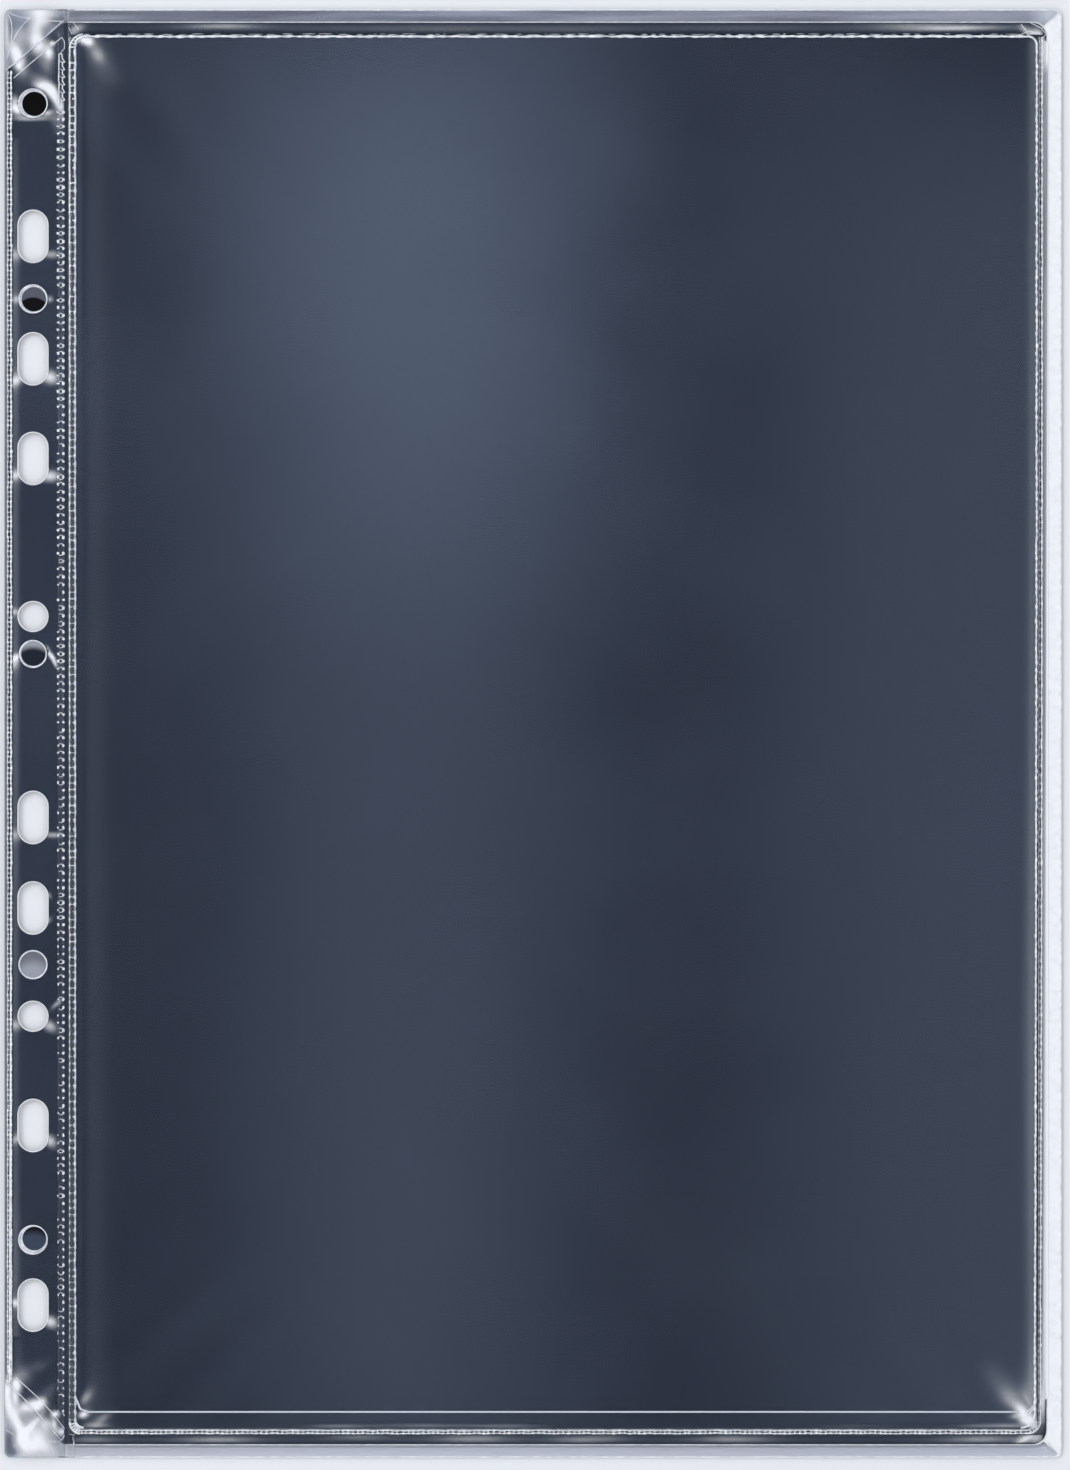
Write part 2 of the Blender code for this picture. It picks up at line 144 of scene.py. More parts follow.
def dress(node, mat):
    mesh = nodes[node].data
    mesh.materials.clear()
    mesh.materials.append(mat)


back_film_clear = make_film("back_film_clear", (0.98, 0.98, 0.99), 0.1, 0.2, 700.0, 0.1)
dress("page_back_film", back_film_clear)


# Page base
# A dark slate plastic sheet, the ground that shows through every film. It is held by the
# welds between the back film and the front film.
SLATE_CLOUD = 14.0
SLATE_FIBRE = 1600.0
FIBRE_RELIEF = 0.12
GLOSS_SPAN = 0.06


# Slate sheet with a faint fibre grain and slow changes of shade
def make_slate(name, deep, light, rough, shine):
    mat, tree, shader = new_material(name)
    shade = add_mix(tree, add_noise(tree, SLATE_CLOUD, 4.0), deep, light)
    grain = add_noise(tree, SLATE_FIBRE, 2.0)
    gloss = add_range(tree, grain, UNIT, (rough - GLOSS_SPAN, rough + GLOSS_SPAN))
    feed(shader, {"Base Color": shade, "Roughness": gloss, "Specular IOR Level": shine})
    feed(shader, {"Normal": add_relief(tree, grain, FIBRE_RELIEF)})
    return mat


slate_sheet = make_slate("slate_sheet", (0.013, 0.02, 0.04), (0.018, 0.026, 0.05), 0.55, 0.2)
slate_ground = make_slate("slate_ground", (0.0145, 0.0212, 0.037), (0.0185, 0.0262, 0.0455), 0.55, 0.15)
dress("page_base", slate_ground)


# Rim
# Clear fused border on the back film, round the top, the fore edge and the foot. It falls away
# from a small lip beside the dark ground to a thin outer edge. Both edges are painted white as highlights,
# the fore side is painted white as a reflection, and the film along the top is painted grey as shade.
rim_low, rim_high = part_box("edge_welt")
RIM_OUTER_CORNER = 1.6 * MM
RIM_INNER_CORNER = 3.05 * MM
RIM_WIDTH = 2.94 * MM
RIM_FORE_WIDTH = 3.34 * MM
RIM_START = rim_low.x - 10 * MM
RIM_HEIGHTS = (0.3, 0.4, 0.44, 0.47, 0.5, 0.52, 0.54, 0.56, 0.58, 0.6, 0.62, 0.64, 0.7, 0.62)
RIM_UNDERSIDE = 0.22 * MM
FORE_CLEAR = (0.1083, 0.1128)
RIM_SPAN = (-0.156, 0.156)
STREAK_STRETCH = (26.0, 500.0, 1.0)
TOP_LIGHTER = 1.4
MOTTLE_SCALE = 700.0
MOTTLE_SPAN = (0.35, 0.65)
MOTTLE_GLOSS = 0.08
CLOSE = 0.001 * MM
NEAR = 0.01 * MM


def deselect_all():
    bpy.ops.object.select_all(action="DESELECT")


def edit_mode():
    bpy.ops.object.mode_set(mode="EDIT")


def object_mode():
    bpy.ops.object.mode_set(mode="OBJECT")


def select_mesh():
    bpy.ops.mesh.select_all(action="SELECT")


# Selects, in edit mode, the elements of one kind whose middle passes the test
def pick(kind, test):
    bpy.ops.mesh.select_mode(type=kind)
    bpy.ops.mesh.select_all(action="DESELECT")
    mesh = bmesh.from_edit_mesh(bpy.context.object.data)
    items = {"VERT": mesh.verts, "EDGE": mesh.edges, "FACE": mesh.faces}[kind]
    for item in items:
        corners = [item.co] if kind == "VERT" else [vert.co for vert in item.verts]
        middle = sum(corners, Vector()) / len(corners)
        if test(middle, item):
            item.select_set(True)
    mesh.select_flush_mode()
    bmesh.update_edit_mesh(bpy.context.object.data)


# Adds an edge outline with rounded right corners to the mesh in edit mode
def add_outline(low, high, corner, level):
    bpy.ops.mesh.select_all(action="DESELECT")
    bpy.ops.mesh.primitive_plane_add(size=2.0, location=(0.0, 0.0, level))
    half = ((high[0] - low[0]) / 2, (high[1] - low[1]) / 2, 1.0)
    bpy.ops.transform.resize(value=half, center_override=(0.0, 0.0, level))
    bpy.ops.transform.translate(value=((high[0] + low[0]) / 2, (high[1] + low[1]) / 2, 0.0))
    pick("VERT", lambda middle, vert: abs(middle.z - level) < CLOSE and middle.x > 0.0)
    bpy.ops.mesh.bevel(offset=corner, segments=8, affect="VERTICES")
    pick("FACE", lambda middle, face: abs(middle.z - level) < CLOSE)
    bpy.ops.mesh.delete(type="ONLY_FACE")


# Gives a piece its materials and keeps what each face has chosen
def put_materials(ob, mats):
    chosen = [face.material_index for face in ob.data.polygons]
    ob.data.materials.clear()
    for mat in mats:
        ob.data.materials.append(mat)
    for face, index in zip(ob.data.polygons, chosen):
        face.material_index = min(index, len(mats) - 1)


def finish_piece(ob, mats, body, record_slot, *replaced):
    put_materials(ob, mats)
    if replaced:
        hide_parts(*replaced)
    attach(ob, body)


# Whitened PVC with a fine milky mottle, as a hot tool leaves it; the same white also serves for painted
# highlights
def make_white_mottle(name, dim, bright, rough):
    mat, tree, shader = new_material(name)
    mottle = add_noise(tree, MOTTLE_SCALE, 3.0)
    shade = add_mix(tree, add_range(tree, mottle, MOTTLE_SPAN), dim, bright)
    gloss = add_range(tree, mottle, UNIT, (rough - MOTTLE_GLOSS, rough + MOTTLE_GLOSS))
    feed(shader, {"Base Color": shade, "Roughness": gloss})
    return mat


# Rim film is tinted clearest at the fore edge and greyest along the top, with lighter long streaks: painted
# shade with painted reflections, set by place on the sheet
def make_shaded_rim_film(name):
    mat = make_film(name, (0.9, 0.9, 0.93), 0.08, 0.2, 700.0, 0.15)
    tree = mat.node_tree
    axes = object_axes(tree)
    streak = add_noise(tree, 1.0, 2.0, STREAK_STRETCH)
    lighter = add_range(tree, add_math(tree, "MULTIPLY_ADD", axes["X"], TOP_LIGHTER, streak), NOISE_SPAN)
    top = add_mix(tree, lighter, (0.3, 0.312, 0.345), (0.66, 0.67, 0.705))
    long = add_mix(tree, add_range(tree, axes["Y"], RIM_SPAN), (0.9, 0.905, 0.925), top)
    retint(mat, add_mix(tree, add_range(tree, axes["X"], FORE_CLEAR), long, (0.99, 0.99, 1.0)))
    return mat


deselect_all()
bpy.ops.mesh.primitive_plane_add(size=1.0)
rim = bpy.context.object
rim.name = "clear_rim"
edit_mode()
bpy.ops.mesh.delete(type="VERT")
add_outline((RIM_START, rim_low.y), (rim_high.x, rim_high.y), RIM_OUTER_CORNER, rim_low.z)
add_outline((RIM_START, rim_low.y + RIM_WIDTH), (rim_high.x - RIM_FORE_WIDTH, rim_high.y - RIM_WIDTH),
            RIM_INNER_CORNER, rim_high.z)
pick("EDGE", lambda middle, edge: abs(middle.x - RIM_START) < CLOSE)
bpy.ops.mesh.delete(type="EDGE")
select_mesh()
bpy.ops.mesh.bridge_edge_loops(number_cuts=len(RIM_HEIGHTS) - 2, interpolation="LINEAR")
select_mesh()
bpy.ops.mesh.bisect(plane_co=(rim_low.x, 0.0, 0.0), plane_no=(1.0, 0.0, 0.0), clear_inner=True)
object_mode()

# The outermost and the innermost loop are white lines of painted highlight, and the fore side past the mitre
# is painted white as a reflection; each loop gets its height
rim_bands = len(RIM_HEIGHTS) - 1
rim_share = {}
for vert in rim.data.vertices:
    rim_share[vert.index] = (vert.co.z - rim_low.z) / (rim_high.z - rim_low.z) * rim_bands
for face in rim.data.polygons:
    band = sum(rim_share[index] for index in face.vertices) / len(face.vertices)
    past_mitre = rim_high.x - face.center.x < rim_high.y - abs(face.center.y)
    face.material_index = 2 if past_mitre else 0
    if band < 1.0 or band > rim_bands - 1.0:
        face.material_index = 1
for vert in rim.data.vertices:
    vert.co.z = RIM_HEIGHTS[round(rim_share[vert.index])] * MM
edit_mode()
select_mesh()
bpy.ops.mesh.extrude_region_move(TRANSFORM_OT_translate={"value": (0.0, 0.0, -1.0 * MM)})
mesh = bmesh.from_edit_mesh(rim.data)
for vert in [vert for vert in mesh.verts if vert.select]:
    vert.co.z = RIM_UNDERSIDE
bmesh.update_edit_mesh(rim.data)
select_mesh()
bpy.ops.mesh.normals_make_consistent(inside=False)
object_mode()
# Rim film with painted shade, greyest along the top
rim_film_painted_shade = make_shaded_rim_film("rim_film_painted_shade")
# A white for the pressed pocket line and the hole rings, also used as painted highlight on the rim's edges
# and along the creases and folds
fused_white_and_highlight = make_white_mottle("fused_white_and_highlight", (0.62, 0.64, 0.69), (0.93, 0.93, 0.95), 0.3)
# A brighter white used as painted highlight: the reflection on the rim's fore side and the bright hole
# outlines
painted_highlight_white = make_white_mottle("painted_highlight_white", (0.9, 0.9, 0.915), (0.95, 0.95, 0.96), 0.3)
finish_piece(rim, [rim_film_painted_shade, fused_white_and_highlight, painted_highlight_white], "page", "clear_film", "edge_welt")


# Insert card
# A dark slate card that lies loose in the pocket. Its cut foot is pale, so a thin light line
# shows there under the film.
card_low, card_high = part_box("insert_card")
CARD_CORNER = 2.4 * MM
CARD_CHAMFER = 0.44 * MM


def is_upright(middle, edge):
    return abs(edge.verts[0].co.z - edge.verts[1].co.z) > NEAR


def add_box(name, low, high):
    deselect_all()
    bpy.ops.mesh.primitive_cube_add(size=1.0)
    ob = bpy.context.object
    ob.name = name
    ob.location = (Vector(low) + Vector(high)) / 2
    ob.scale = Vector(high) - Vector(low)
    bpy.ops.object.transform_apply()
    return ob


card = add_box("card_leaf", card_low, card_high)
edit_mode()
pick("EDGE", is_upright)
bpy.ops.mesh.bevel(offset=CARD_CORNER, segments=2)
pick("EDGE", lambda middle, edge: middle.z > card_high.z - NEAR and middle.y < card_low.y + CARD_CORNER)
bpy.ops.mesh.bevel(offset=CARD_CHAMFER, segments=2)
object_mode()

slate_card = make_slate("slate_card", (0.0096, 0.0148, 0.0308), (0.0118, 0.0178, 0.037), 0.5, 0.2)
pale_core = make_slate("pale_core", (0.82, 0.84, 0.88), (0.95, 0.96, 0.98), 0.55, 0.3)
for face in card.data.polygons:
    along_foot = face.center.y < card_low.y + CARD_CORNER
    face.material_index = 1 if along_foot and abs(face.normal.z) < 0.95 else 0
finish_piece(card, [slate_card, pale_core], "card", "slate_card", "insert_card")


# Pocket film
# The clear front film of the page. It is welded down along the spine, the foot and the fore
# edge, steps up over the card and is open at the top. It lies in soft waves, tighter in the corners.
film_low, film_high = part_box("pocket_film")
POCKET_LEFT = card_low.x - 0.35 * MM
POCKET_RIGHT = card_high.x + 0.35 * MM
POCKET_FOOT = card_low.y - 3.45 * MM
MOUTH = film_high.y
PANEL_TOP = film_high.z
FLANGE_TOP = film_low.z + 0.2 * MM
POCKET_CORNER = 2.2 * MM
PANEL_CORNER = 0.8
FILM_WALL = 0.16 * MM
MOUTH_CALM = 12 * MM
# Heights in mm of the slow and the fine waves, and the runs across and along the page in which they turn
WAVE_TALL = 0.03
WAVE_ACROSS = 0.024
WAVE_ALONG = 0.05
FINE_TALL = 0.01
FINE_ACROSS = 0.06
FINE_ALONG = 0.019
# Height in mm, corner, reach, pitch and turn of each ripple
CORNER_RIPPLES = (
    (0.06, POCKET_RIGHT, POCKET_FOOT, 0.03, 0.017, 0.75),
    (0.05, POCKET_LEFT, MOUTH, 0.028, 0.016, 0.7),
    (0.05, POCKET_LEFT, POCKET_FOOT, 0.035, 0.015, 2.3),
)
# Out and down in mm: rounded brow, wall and flange
FILM_STEPS = ((0.08, 0.03), (0.14, 0.2), (0.12, 0.62), (1.4, 0.0))


# A flat grid over a region, with its place and size applied
def add_grid(low, high, level, columns, rows):
    deselect_all()
    bpy.ops.mesh.primitive_grid_add(x_subdivisions=columns, y_subdivisions=rows, size=1.0)
    ob = bpy.context.object
    ob.scale = (high[0] - low[0], high[1] - low[1], 1.0)
    ob.location = ((high[0] + low[0]) / 2, (high[1] + low[1]) / 2, level)
    bpy.ops.object.transform_apply()
    return ob


# Gives the active sheet a wall, below it where side is -1 and above it where it is 1
def thicken(ob, wall, side):
    shell = ob.modifiers.new("shell", "SOLIDIFY")
    shell.thickness = wall
    shell.offset = side
    bpy.ops.object.modifier_apply(modifier="shell")


def corner_ripple(x, y, corner_x, corner_y, reach, pitch, turn):
    away = math.hypot(x - corner_x, y - corner_y)
    side = (x - corner_x) * math.cos(turn) + (y - corner_y) * math.sin(turn)
    return math.exp(-(away / reach) ** 2) * math.sin(2 * math.pi * side / pitch)


# Slow waves all over and ripples in three corners, calm at the mouth
def film_wave(x, y):
    wave = WAVE_TALL * math.sin(x / WAVE_ACROSS + 0.8) * math.sin(y / WAVE_ALONG + 1.1)
    wave += FINE_TALL * math.sin(y / FINE_ALONG + x / FINE_ACROSS)
    for height, *ripple in CORNER_RIPPLES:
        wave += height * corner_ripple(x, y, *ripple)
    return wave * min(1.0, (MOUTH - y) / MOUTH_CALM) * MM


pocket = add_grid((POCKET_LEFT, POCKET_FOOT), (POCKET_RIGHT, MOUTH), PANEL_TOP, 110, 160)
pocket.name = "pocket_cover"
edit_mode()
pick("VERT", lambda middle, vert: middle.y < POCKET_FOOT + NEAR and len(vert.link_edges) == 2)
bpy.ops.mesh.bevel(offset=POCKET_CORNER * PANEL_CORNER, segments=6, affect="VERTICES")


def is_welded_side(middle, edge):
    return edge.is_boundary and middle.y < MOUTH - NEAR


# Steps down and out from the welded sides
for out, down in FILM_STEPS:
    pick("EDGE", is_welded_side)
    bpy.ops.mesh.extrude_region_move(TRANSFORM_OT_translate={"value": (0.0, 0.0, -down * MM)})
    mesh = bmesh.from_edit_mesh(pocket.data)
    for vert in [vert for vert in mesh.verts if vert.select]:
        if vert.co.x < POCKET_LEFT + POCKET_CORNER:
            vert.co.x -= out * MM
        if vert.co.x > POCKET_RIGHT - POCKET_CORNER:
            vert.co.x += out * MM
        if vert.co.y < POCKET_FOOT + POCKET_CORNER:
            vert.co.y -= out * MM
    bmesh.update_edit_mesh(pocket.data)
object_mode()
for vert in pocket.data.vertices:
    lift = min(1.0, max(0.0, (vert.co.z - FLANGE_TOP) / (PANEL_TOP - FLANGE_TOP)))
    vert.co.z += film_wave(vert.co.x, vert.co.y) * lift
bpy.ops.object.shade_smooth()
thicken(pocket, FILM_WALL, -1.0)
edit_mode()
bpy.ops.mesh.select_mode(type="EDGE")
bpy.ops.mesh.select_all(action="DESELECT")
bpy.ops.mesh.edges_select_sharp(sharpness=math.radians(85))
bpy.ops.mesh.mark_sharp()
object_mode()
pocket_clear = make_film("pocket_clear", (0.96, 0.97, 0.985), 0.1, 0.15, 2400.0, 0.008)
finish_piece(pocket, [pocket_clear], "page", "clear_film", "pocket_film")


# Pocket line
# The pressed line round the pocket: a doubled lip along the open mouth, with a broken line on its
# outer side, turning down the fore edge with a rounded corner and into the foot seam.
LINE_LEVEL = PANEL_TOP + 0.01 * MM
LINE_TOP = MOUTH + 0.02 * MM
LINE_RIGHT = POCKET_RIGHT - 0.36 * MM
LINE_LEAN = 0.46 * MM
LEAN_CURVE = 2.4
LINE_LEFT = POCKET_LEFT + 0.1 * MM
LINE_FOOT = POCKET_FOOT + 0.3 * MM
LINE_CORNER = 1.9 * MM
FOOT_CORNER = 3.0 * MM
LINE_RADIUS = 0.23 * MM
LINE_HEIGHT = 0.2 * MM
DASH_RADIUS = 0.12 * MM
DASH_LEVEL = 0.77 * MM
DASH_HEIGHT = 0.1 * MM
# Limits in mm of the dashes of the broken line
DASH_LENGTH = (0.5, 3.2)
DASH_RISE = (0.5, 0.66)
DASH_BEND = (-0.08, 0.08)
DASH_GAP = (0.4, 2.4)


# Lays wires of pressed film along paths, flattened between two levels
def lay_wires(name, paths, radius, base, height):
    curve = bpy.data.curves.new(name, "CURVE")
    curve.dimensions = "3D"
    curve.bevel_depth = radius
    curve.bevel_resolution = 1
    curve.use_fill_caps = True
    for path in paths:
        closed = path[0] == path[-1]
        places = path[:-1] if closed else path
        spline = curve.splines.new("POLY")
        spline.use_cyclic_u = closed
        spline.points.add(len(places) - 1)
        for knot, place in zip(spline.points, places):
            knot.co = (place[0], place[1], 0.0, 1.0)
            knot.radius = place[2] if len(place) > 2 else 1.0
    ob = bpy.data.objects.new(name, curve)
    bpy.context.collection.objects.link(ob)
    deselect_all()
    ob.select_set(True)
    bpy.context.view_layer.objects.active = ob
    bpy.ops.object.convert(target="MESH")
    ob = bpy.context.object
    squeeze = height / (2 * radius)
    for vert in ob.data.vertices:
        vert.co.z = base + height / 2 + max(-height / 2, min(height / 2, vert.co.z * squeeze))
    bpy.ops.object.shade_smooth()
    return ob


def join(obs, name):
    deselect_all()
    for ob in obs:
        ob.select_set(True)
    bpy.context.view_layer.objects.active = obs[0]
    bpy.ops.object.join()
    obs[0].name = name
    return obs[0]


def arc(centre, radius, start, end, steps):
    turns = [math.radians(start + (end - start) * step / steps) for step in range(steps + 1)]
    return [(centre[0] + radius * math.cos(turn), centre[1] + radius * math.sin(turn)) for turn in turns]


# How fast wires sway and vary along their length, per metre, and how much they vary
SWAY_RATE = 900
WIRE_RATE = 1500
WIRE_VARY = 0.35
BEAD_RATE = 700
BEAD_VARY = 0.5
SHIFT_RATE = 300
BEAD_SHIFT = 0.4


def waver(x, y, z):
    return noise.noise(Vector((x, y, z)))


# Walks a straight run in even steps: share, length so far, place and the way across
def walk(start, end, step):
    along = Vector((end[0] - start[0], end[1] - start[1]))
    count = max(2, round(along.length / step))
    side = Vector((-along.y, along.x)).normalized()
    for index in range(count + 1):
        share = index / count
        yield share, share * along.length, Vector(start) + along * share, side


# A straight run of points with a small seeded waver across it and in its width
def waver_run(start, end, step, across, seed):
    points = []
    for share, reach, place, side in walk(start, end, step):
        place += side * waver(reach * SWAY_RATE, seed * 7.3, 0.5) * across
        width = 1.0 + WIRE_VARY * waver(reach * WIRE_RATE, seed * 3.1, 3.0)
        points.append((place.x, place.y, width))
    return points


# A seam is pressed harder past the share called firm; one past its end leaves it even
EVEN = 2.0
BEAD_STEPS = 6
BEAD_DRIFT = 0.1 * MM
BEAD_SHARPNESS = 1.6


def harder(share, firm):
    return max(0.0, (share - firm) / (1.0 - firm)) if firm < 1.0 else 0.0


def bead_shift(reach, seed):
    return BEAD_SHIFT * waver(reach * SHIFT_RATE, seed * 5.7, 1.5)


# A run of pressed beads: the wire swells and thins at a pitch, in a seeded waver
def beaded_run(start, end, pitch, thin, fat, firm, seed):
    points = []
    for share, reach, place, side in walk(start, end, pitch / BEAD_STEPS):
        swell = 0.5 + 0.5 * math.sin(2 * math.pi * (reach / pitch + bead_shift(reach, seed)))
        least = thin + (0.75 * fat - thin) * harder(share, firm)
        vary = 1.0 + BEAD_VARY * waver(reach * BEAD_RATE, start[0] * SWAY_RATE, 3.0 + seed)
        place += side * waver(reach * SWAY_RATE, start[0] * BEAD_RATE, 0.5 + seed) * BEAD_DRIFT
        points.append((place.x, place.y, (least + (fat - least) * swell ** BEAD_SHARPNESS) * vary))
    return points


# The lines along the fore edge lean in towards the foot
def lean_in(knot, lean):
    share = max(0.0, (LINE_TOP - knot[1]) / (LINE_TOP - LINE_FOOT))
    return (knot[0] - lean * share ** LEAN_CURVE, *knot[1:])


line_points = arc((LINE_LEFT + LINE_CORNER, LINE_TOP - LINE_CORNER), LINE_CORNER, 180, 100, 8)
line_points += beaded_run((LINE_LEFT + LINE_CORNER, LINE_TOP), (LINE_RIGHT - LINE_CORNER, LINE_TOP),
                          2.3 * MM, 0.85, 1.3, EVEN, 1)
line_points += arc((LINE_RIGHT - LINE_CORNER, LINE_TOP - LINE_CORNER), LINE_CORNER, 80, 0, 8)
fore_run = beaded_run((LINE_RIGHT, LINE_TOP - LINE_CORNER - 1 * MM), (LINE_RIGHT, LINE_FOOT + FOOT_CORNER),
                      1.5 * MM, 0.65, 1.2, EVEN, 2)
line_points += [lean_in(knot, LINE_LEAN) for knot in fore_run]
foot_centre = (LINE_RIGHT - LINE_LEAN - FOOT_CORNER, LINE_FOOT + FOOT_CORNER)
line_points += arc(foot_centre, FOOT_CORNER, -10, -90, 8)
spine_corner = arc((LINE_LEFT + LINE_CORNER, LINE_FOOT + LINE_CORNER), LINE_CORNER, 180, 270, 8)
line = lay_wires("pocket_line", [line_points, spine_corner], LINE_RADIUS, LINE_LEVEL, LINE_HEIGHT)
dice = random.Random(3)
dashes = []
reach = LINE_LEFT + LINE_CORNER
while reach < LINE_RIGHT - LINE_CORNER:
    length = dice.uniform(*DASH_LENGTH) * MM
    level = LINE_TOP + dice.uniform(*DASH_RISE) * MM
    middle = (reach + length / 2, level + dice.uniform(*DASH_BEND) * MM)
    dashes.append([(reach, level, 0.7), middle, (reach + length, level, 0.6)])
    reach += length + dice.uniform(*DASH_GAP) * MM
broken = lay_wires("pocket_dashes", dashes, DASH_RADIUS, DASH_LEVEL, DASH_HEIGHT)
fused_dull = make_white_mottle("fused_dull", (0.3, 0.315, 0.36), (0.62, 0.63, 0.68), 0.4)
finish_piece(broken, [fused_dull], "page", "fused_film")
finish_piece(line, [fused_white_and_highlight], "page", "fused_film", "mouth_lip")


# Spine seams
# Two knurled seams run down the sheet beside the fold: on the page side a ladder of two rails and
# rungs, on the margin side a chain of pressed links that thins towards the foot.
spine_low, spine_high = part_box("spine_weld_inner")
chain_low, chain_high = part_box("spine_weld_outer")
LINK_PITCH = 1.66 * MM
RAIL_RADIUS = 0.2 * MM
CHAIN_RADIUS = 0.13 * MM
LADDER_TOP = 149.75 * MM
LADDER_FOOT = -150.6 * MM
LADDER_LEFT = spine_low.x + 0.36 * MM
LADDER_RIGHT = spine_high.x + 0.14 * MM
RUNG_LEAN = 0.06
RUNG_START = 0.25
RUNG_PRESS = 0.6
RUNG_VARY = (0.7, 1.3)
RUNG_TILT = (-0.15, 0.15)
RUNG_WAIST = (0.4, 0.9)
FULL_RUNGS = 0.7


# A ladder seam: two beaded rails and rungs between them, pressed harder from one share on
def ladder_paths(low, high, pitch, rails, rung, firm, seed):
    dice = random.Random(seed)
    paths = []
    for side, rail in zip((low[0], high[0]), rails):
        paths.append(beaded_run((side, low[1]), (side, high[1]), pitch, *rail, firm, seed))
    length = high[1] - low[1]
    for number in range(round(length / pitch) - 1):
        reach = (number + RUNG_START) * pitch
        place = low[1] + reach - pitch * bead_shift(reach, seed)
        weight = rung * (RUNG_PRESS + harder(reach / length, firm)) * dice.uniform(*RUNG_VARY)
        lean = dice.uniform(*RUNG_TILT) * MM
        start = low[0] if dice.random() < FULL_RUNGS else (low[0] + high[0]) / 2
        waist = ((start + high[0]) / 2, place, weight * dice.uniform(*RUNG_WAIST))
        paths.append([(start, place - lean, weight), waist, (high[0], place + lean, weight)])
    return paths


# A corner of a ladder: two curved rails and the rungs between them
def ladder_corner(centre, inner, outer, start, end, weights):
    rail, rung = weights
    paths = []
    for radius in (inner, outer):
        paths.append([(x, y, rail) for x, y in arc(centre, radius, start, end, 8)])
    for share in (0.12, 0.32, 0.5, 0.68, 0.88):
        turn = math.radians(start + (end - start) * share)
        near = (centre[0] + inner * math.cos(turn), centre[1] + inner * math.sin(turn), rung)
        turn += RUNG_LEAN
        far = (centre[0] + outer * math.cos(turn), centre[1] + outer * math.sin(turn), rung)
        paths.append([near, far])
    return paths


ladder_rails = ladder_paths((LADDER_LEFT, LADDER_FOOT), (LADDER_RIGHT, LADDER_TOP), LINK_PITCH,
                            ((0.3, 1.05), (0.7, 1.6)), 0.85, 0.84, 4)
# Towards the foot the rail beside the fold breaks up into beads and the rungs grow thin
LADDER_PRESS = 0.8
LADDER_LOSS = 0.4
LADDER_BREAK = 0.35
LADDER_LEAST = 0.06


def worn(knot, press, loss):
    share = (knot[1] - LADDER_FOOT) / (LADDER_TOP - LADDER_FOOT)
    missing = loss * max(0.0, 1.0 - share / LADDER_BREAK)
    return (knot[0], knot[1], max(LADDER_LEAST, knot[2] * press - missing))


ladder_rails[0] = [worn(knot, LADDER_PRESS, LADDER_LOSS) for knot in ladder_rails[0]]
ladder_rails[2:] = [[worn(knot, 1.0, LADDER_LOSS / 2) for knot in rung] for rung in ladder_rails[2:]]
# At both ends the ladder turns in towards the page
LADDER_WIDTH = LADDER_RIGHT - LADDER_LEFT
TOP_TURN = 3.2 * MM
FOOT_TURN = 2.6 * MM
ladder_rails += ladder_corner((LADDER_LEFT + TOP_TURN, LADDER_TOP), TOP_TURN - LADDER_WIDTH, TOP_TURN,
                              180, 95, (0.9, 0.8))
ladder_rails += ladder_corner((LADDER_LEFT + FOOT_TURN, LADDER_FOOT), FOOT_TURN - LADDER_WIDTH, FOOT_TURN,
                              180, 262, (1.1, 0.9))
ladder_tall = spine_high.z - spine_low.z
ladder = lay_wires("spine_ladder", ladder_rails, RAIL_RADIUS, spine_low.z, ladder_tall)
fused_seam = make_white_mottle("fused_seam", (0.66, 0.68, 0.73), (0.97, 0.97, 0.98), 0.3)
finish_piece(ladder, [fused_seam], "page", "fused_film", "spine_weld_inner")


# Limits of the links' heights and steps in pitches, of their shift in mm and of their weight
LINK_TALL = (0.2, 0.42)
LINK_SHIFT = (-0.1, 0.1)
LINK_WEIGHT = (1.4, 2.0)
LINK_DASH = (0.15, 0.4)
LINK_BOW = (0.2, 0.34)
LINK_STEP = (0.92, 1.08)


# Links of the chain: a pressed dash on each side, joined above or below by a thin bow, fewer to the foot
def chain_paths(low, high, pitch, seed):
    dice = random.Random(seed)
    left = low.x + 0.06 * MM
    right = high.x - 0.3 * MM
    middle = (left + right) / 2
    paths = []
    place = low.y + pitch / 2
    while place < high.y - CHAIN_HEAD:
        share = (place - low.y) / (high.y - low.y)
        tall = pitch * dice.uniform(*LINK_TALL)
        shift = dice.uniform(*LINK_SHIFT) * MM
        weight = dice.uniform(*LINK_WEIGHT) * (0.6 + 0.4 * min(1.0, share / 0.15) + 0.18 * share)
        weaker = weight * (0.4 + 0.55 * min(1.0, share / 0.75))
        paths.append([(right + shift, place - tall / 2, weight), (right + 0.1 * MM, place, 1.2 * weight),
                      (right - shift, place + tall / 2, weight)])
        if dice.random() < 0.5 + 0.5 * share:
            dash = dice.uniform(*LINK_DASH) * pitch
            paths.append([(left - shift, place - dash / 2, weaker), (left, place + dash / 2, 1.3 * weaker)])
        bow = pitch * dice.uniform(*LINK_BOW)
        for way, chance in ((1.0, 0.45 + 0.25 * share), (-1.0, 0.2 + 0.35 * share)):
            if dice.random() < chance:
                end = place + way * tall / 2
                crown = (middle + way * shift, end + way * bow / 2, 0.55)
                paths.append([(right, end, 0.75), crown, (left + 0.2 * MM, end, 0.55)])
        place += pitch * dice.uniform(*LINK_STEP)
    return paths


# The chain starts at the top as one long loop whose right side is toothed
CHAIN_HEAD = 11.4 * MM


